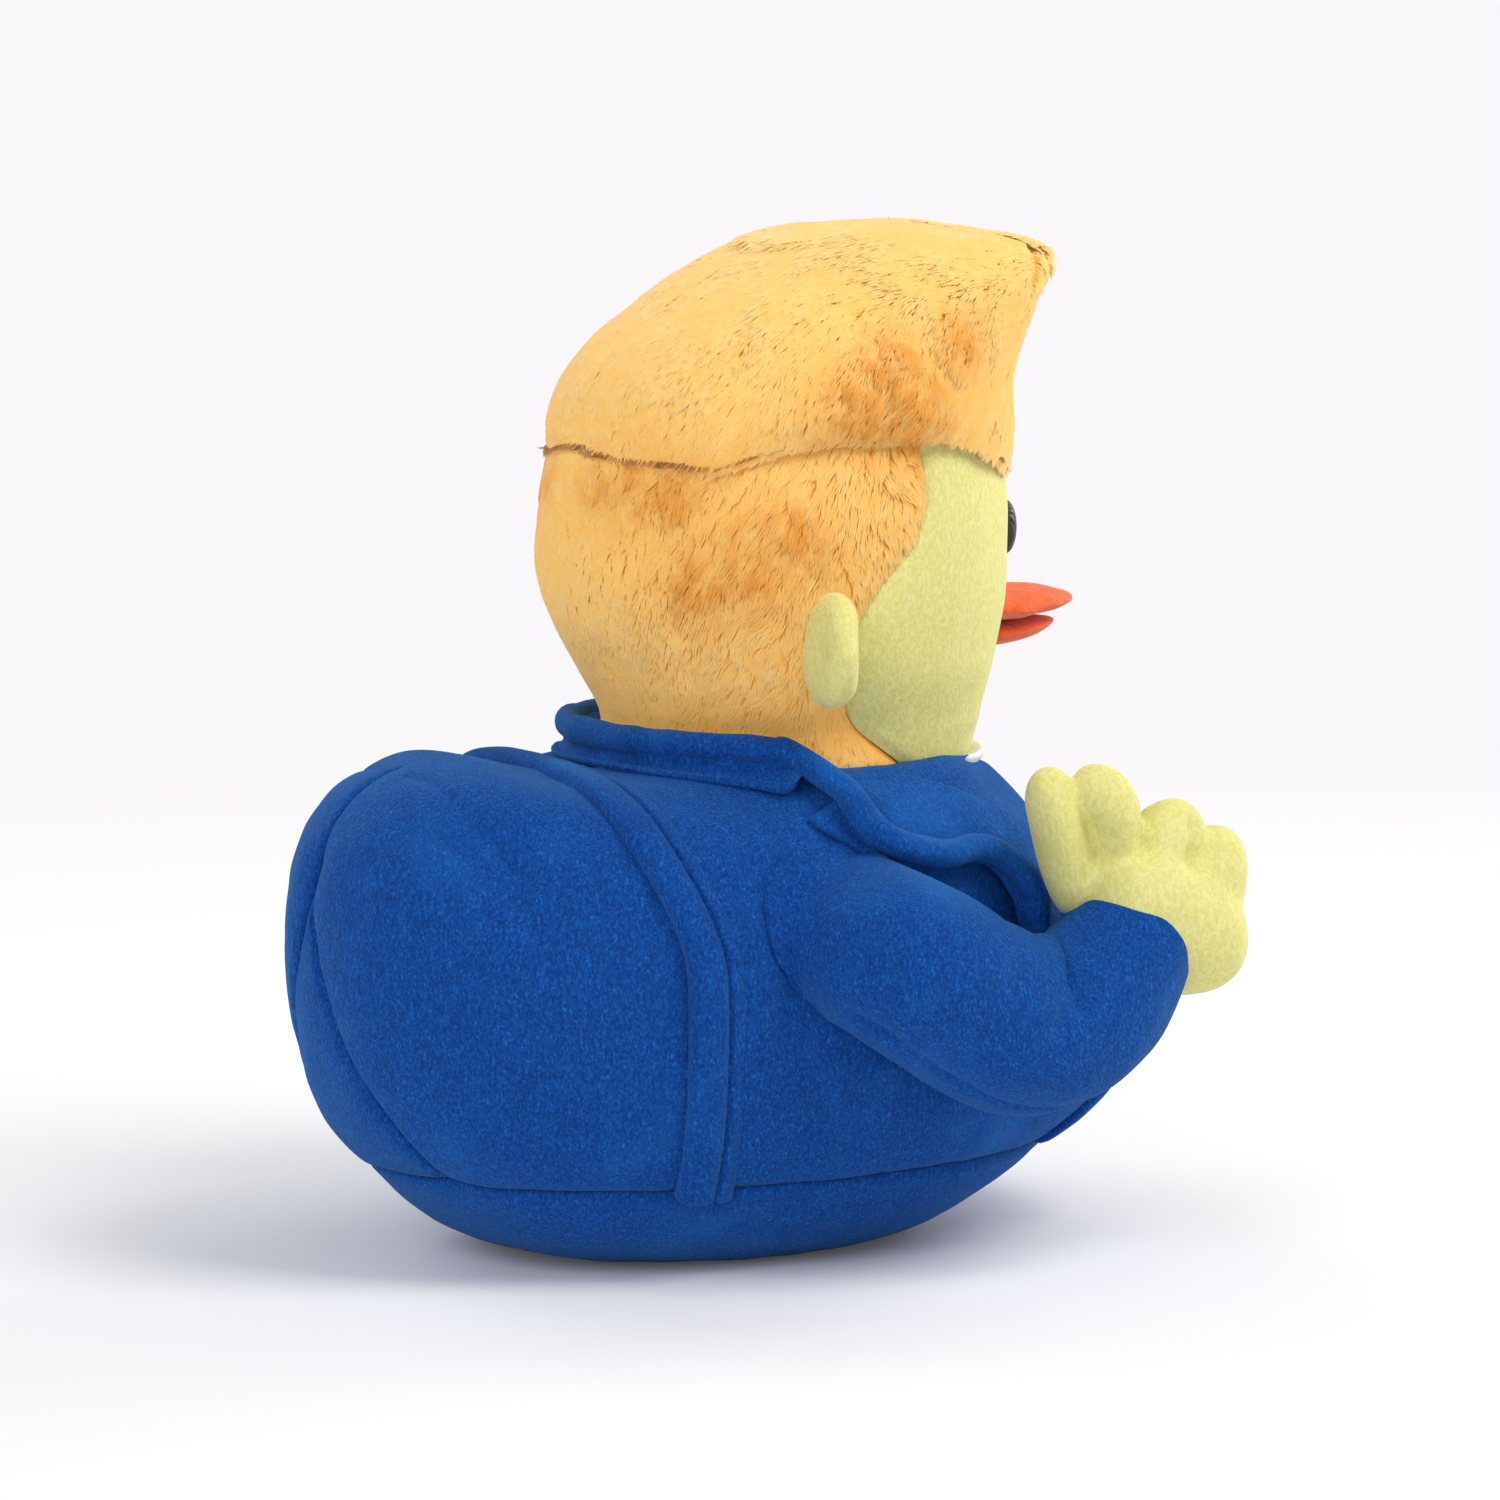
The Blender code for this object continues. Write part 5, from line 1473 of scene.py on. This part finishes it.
def openPile(places):
    found = np.zeros(len(places))
    for spot, reach in patchSpots:
        for side in (1, -1):
            centre = np.array(spot) * (side, 1, 1) * mm
            found = np.maximum(found, np.exp(-((places - centre) ** 2).sum(-1) / (reach * mm) ** 2))
    streaks = ripple(places * (1, 1, 0.6), 0.0045, 71) + 0.6 * ripple(places, 0.0016, 72)
    return np.clip(found * (0.8 + 0.45 * streaks), 0, 1)


foldLines = (  # gathers beside the quiff, in millimetres
    ((38, -33, 217), (42, -42, 207), (45, -47, 200), (46, -50, 194)),
    ((36, -22, 214), (45, -29, 204), (49, -34, 196), (50, -37, 191)),
    ((24, -52, 217), (30, -60, 206), (33, -63, 194)),
)
hairFolds = [
    seamAt(smoothLine(np.array(line) * (side, 1, 1) * mm, 60), 0.0006, 0.0036, 0.0010, 0.0075)
    for side in (1, -1) for line in foldLines
]


def hairSkin(turn, level):
    shape = hairShape
    place = hair.raw(turn, level)
    lift = 0.0006 * ripple(place, 0.028, 61)
    rise = (place[..., 2] - shape["seamHeight"]) / (shape["top"] - shape["seamHeight"])
    dip = np.interp(fromFront(turn), *np.array(shape["seam"]).T) * mm * (1 - np.clip(rise, 0, 1)) ** 2
    for fold in hairFolds:
        lift = lift - groove(place, fold)
    lift = lift - swelling(place[..., 2], *shape["backHollow"]) * np.clip(-np.cos(turn), 0, 1)
    found = place + hair.out(turn, level) * lift[..., None]
    y = found[..., 1]
    drop, start, end = shape["quiffDrop"]
    dome = swelling(y, *shape["crownRise"]) - swelling(y, *shape["crownFall"])
    dome = dome - drop * eased((-y - start) / (end - start))
    found[..., 2] += dip + dome * np.clip(rise, 0, 1) ** 2
    return found


# strands over a surface of two shares, shared out among a few pieces
def coverWithFur(name, place, outOf, flowOf, count, finish, pieces, seed, lengthOf):
    u, v, area = scatter(place, count)
    roots = place(u, v)
    outs = outOf(u, v)
    flows = flowOf(u, v, roots, outs)
    chance = np.random.default_rng(seed)
    patches = openPile(roots)
    lengths = fur["length"] * chance.uniform(0.78, 1.12, len(roots)) * lengthOf(u, v, roots)
    widths = fur["width"] * chance.uniform(0.8, 1.25, len(roots))
    shades = 0.5 + 0.22 * ripple(roots, 0.006, seed + 9) + 0.20 * chance.normal(size=len(roots))
    shades = np.clip(shades, 0, 1)
    lift = 0.13 + 0.22 * patches + 0.05 * ripple(roots, 0.012, seed + 12)
    edges = np.linspace(0, 1, pieces + 1)
    shares = np.argsort(np.argsort(u)) / len(u)
    for i in range(pieces):
        own = (shares >= edges[i]) & (shares < edges[i + 1] if i + 1 < pieces else shares <= 1)
        piece = strandMesh(
            name + str(i + 1), roots[own], outs[own], flows[own], lengths[own], widths[own], shades[own],
            patches[own], finish, lift[own], seed + i,
        )
        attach(piece, "head")
    print(name, len(roots), "strands,", round(area * 1e6), "square millimetres")


def makeHair(furBase, strands):
    quiff = hairShape["quiffTurn"]

    def topTurn(u):
        return quiff + (2 * math.pi - 2 * quiff) * u

    def top(u, v):
        return hairSkin(topTurn(u), v)

    def front(u, v):
        return hairSkin(quiff * (2 * u - 1), v)

    made = sheetPiece("hairTopCloth", top, 150, 80, furBase, headMiddle)
    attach(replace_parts(made, "hair_top_panel"), "head")
    made = sheetPiece("quiffCloth", front, 80, 70, furBase, headMiddle)
    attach(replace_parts(made, "quiff_front_panel"), "head")

    def topOut(u, v):
        return hair.out(topTurn(u), v)

    def topFlow(u, v, roots, outs):
        down = np.stack([0 * u, 0.55 + 0 * u, -0.9 + 0 * u], -1)
        crown = eased((roots[:, 2] - 0.198) / 0.02)[:, None]
        return down * (1 - crown) + np.array((0, 1.0, -0.15)) * crown

    def frontOut(u, v):
        return hair.out(quiff * (2 * u - 1), v)

    def frontFlow(u, v, roots, outs):
        return np.stack([0.25 * np.sign(roots[:, 0]), 0 * u, -1 + 0 * u], -1)

    def backOut(u, v):
        level = headStart + (headSeam - headStart) * v
        return head.out(math.pi + (math.pi - faceTurn(v)) * (2 * u - 1), level)

    def backFlow(u, v, roots, outs):
        forward = eased((np.abs(2 * u - 1) - 0.72) / 0.28)
        y = 0.45 * (1 - forward) - 0.35 * forward
        return np.stack([0 * u, y, -0.9 + 0 * u], -1)

    def shortAtSeam(u, v, roots):
        return fur["seamShort"] + (1 - fur["seamShort"]) * eased(v / 0.09)

    def shortAtNape(u, v, roots):
        return 0.9 - fur["napeShort"] * eased((0.13 - roots[:, 2]) / 0.03)

    share = 1.0
    for name, key, place, outOf, flowOf, pieces, seed, lengthOf in (
        ("hairTopFur", "hairTop", top, topOut, topFlow, 4, 101, shortAtSeam),
        ("quiffFur", "quiff", front, frontOut, frontFlow, 1, 201, shortAtSeam),
        ("hairBackFur", "hairBack", headBack, backOut, backFlow, 2, 301, shortAtNape),
    ):
        coverWithFur(name, place, outOf, flowOf, int(fur[key] * share), strands, pieces, seed, lengthOf)


# build

makeCamera()
makeLamps()
makeStage()
print("stage ready")

bluePlush = shortPile(
    "bluePlush", tint("#063880"), tint("#0E52A8"), tint("#2B84DE"), tuftScale=2200, sheen=0.24,
    sheenTint=(0.2, 0.6, 1.0, 1),
)
# a darker copy of the blue plush: painted shade for the belly between the jacket fronts
paintedShadeBlue = shortPile(
    "paintedShadeBlue", tint("#072B68"), tint("#0B3D84"), tint("#1B5CAE"), tuftScale=1700, sheen=0.2,
    sheenTint=(0.2, 0.6, 1.0, 1),
)
yellowPlush = shortPile(
    "yellowPlush", tint("#DDD67E"), tint("#EAE598"), tint("#F3EFB5"), tuftScale=1500, patchScale=45,
    fleck=0.2, sheen=0.25, sheenTint=(1, 1, 0.8, 1), bumpReach=0.0003,
)
# the base cloth under the fur glows a little: painted light that lifts the shade between the strands
furBase = shortPile(
    "goldenFurBase", tint("#EFA245"), tint("#F9BA5E"), tint("#FFD080"), tuftScale=900, patchScale=60,
    sheen=0.2, sheenTint=(1, 0.9, 0.7, 1), bumpReach=0.0002, glowing=0.15,
)
goldenFur = furStrands("goldenFur", tint("#EC9C38"), tint("#FCC464"), tint("#FFDF96"), tint("#E08A1E"))
orangeFelt = feltCloth("orangeFelt", tint("#E2501C"), tint("#F4652B"), tint("#FA8250"))
whiteCloth = wovenCloth("whiteCloth", tint("#E3E3E6"), tint("#FAFAFC"), 1800)
blackThread = satinThread("blackThread", tint("#060606"), tint("#26262A"))
fibreFill = fillCloth("fibreFill")
for node in (
    "torso_stuffing", "pellet_bag", "head_stuffing", "crown_stuffing", "arm_stuffing_right",
    "arm_stuffing_left",
):
    solid = bpy.data.objects[node] if node in bpy.data.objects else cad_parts[node]
    for place in solid.material_slots:
        place.material = fibreFill
print("materials ready")

makeBody(bluePlush, paintedShadeBlue, whiteCloth)
makeHem(bluePlush)
makeCollar(bluePlush)
makeLapels(bluePlush)
makeShirtCollar(whiteCloth)
print("body and jacket ready")
for side, name in ((-1, "Right"), (1, "Left")):
    makeSleeve(side, name, bluePlush)
    makeHand(side, name, yellowPlush)
print("arms ready")
makeHead(yellowPlush, furBase)
makeEars(yellowPlush)
makeEyes(blackThread, whiteCloth)
makeBill(orangeFelt)
makeHair(furBase, goldenFur)
print("head ready")
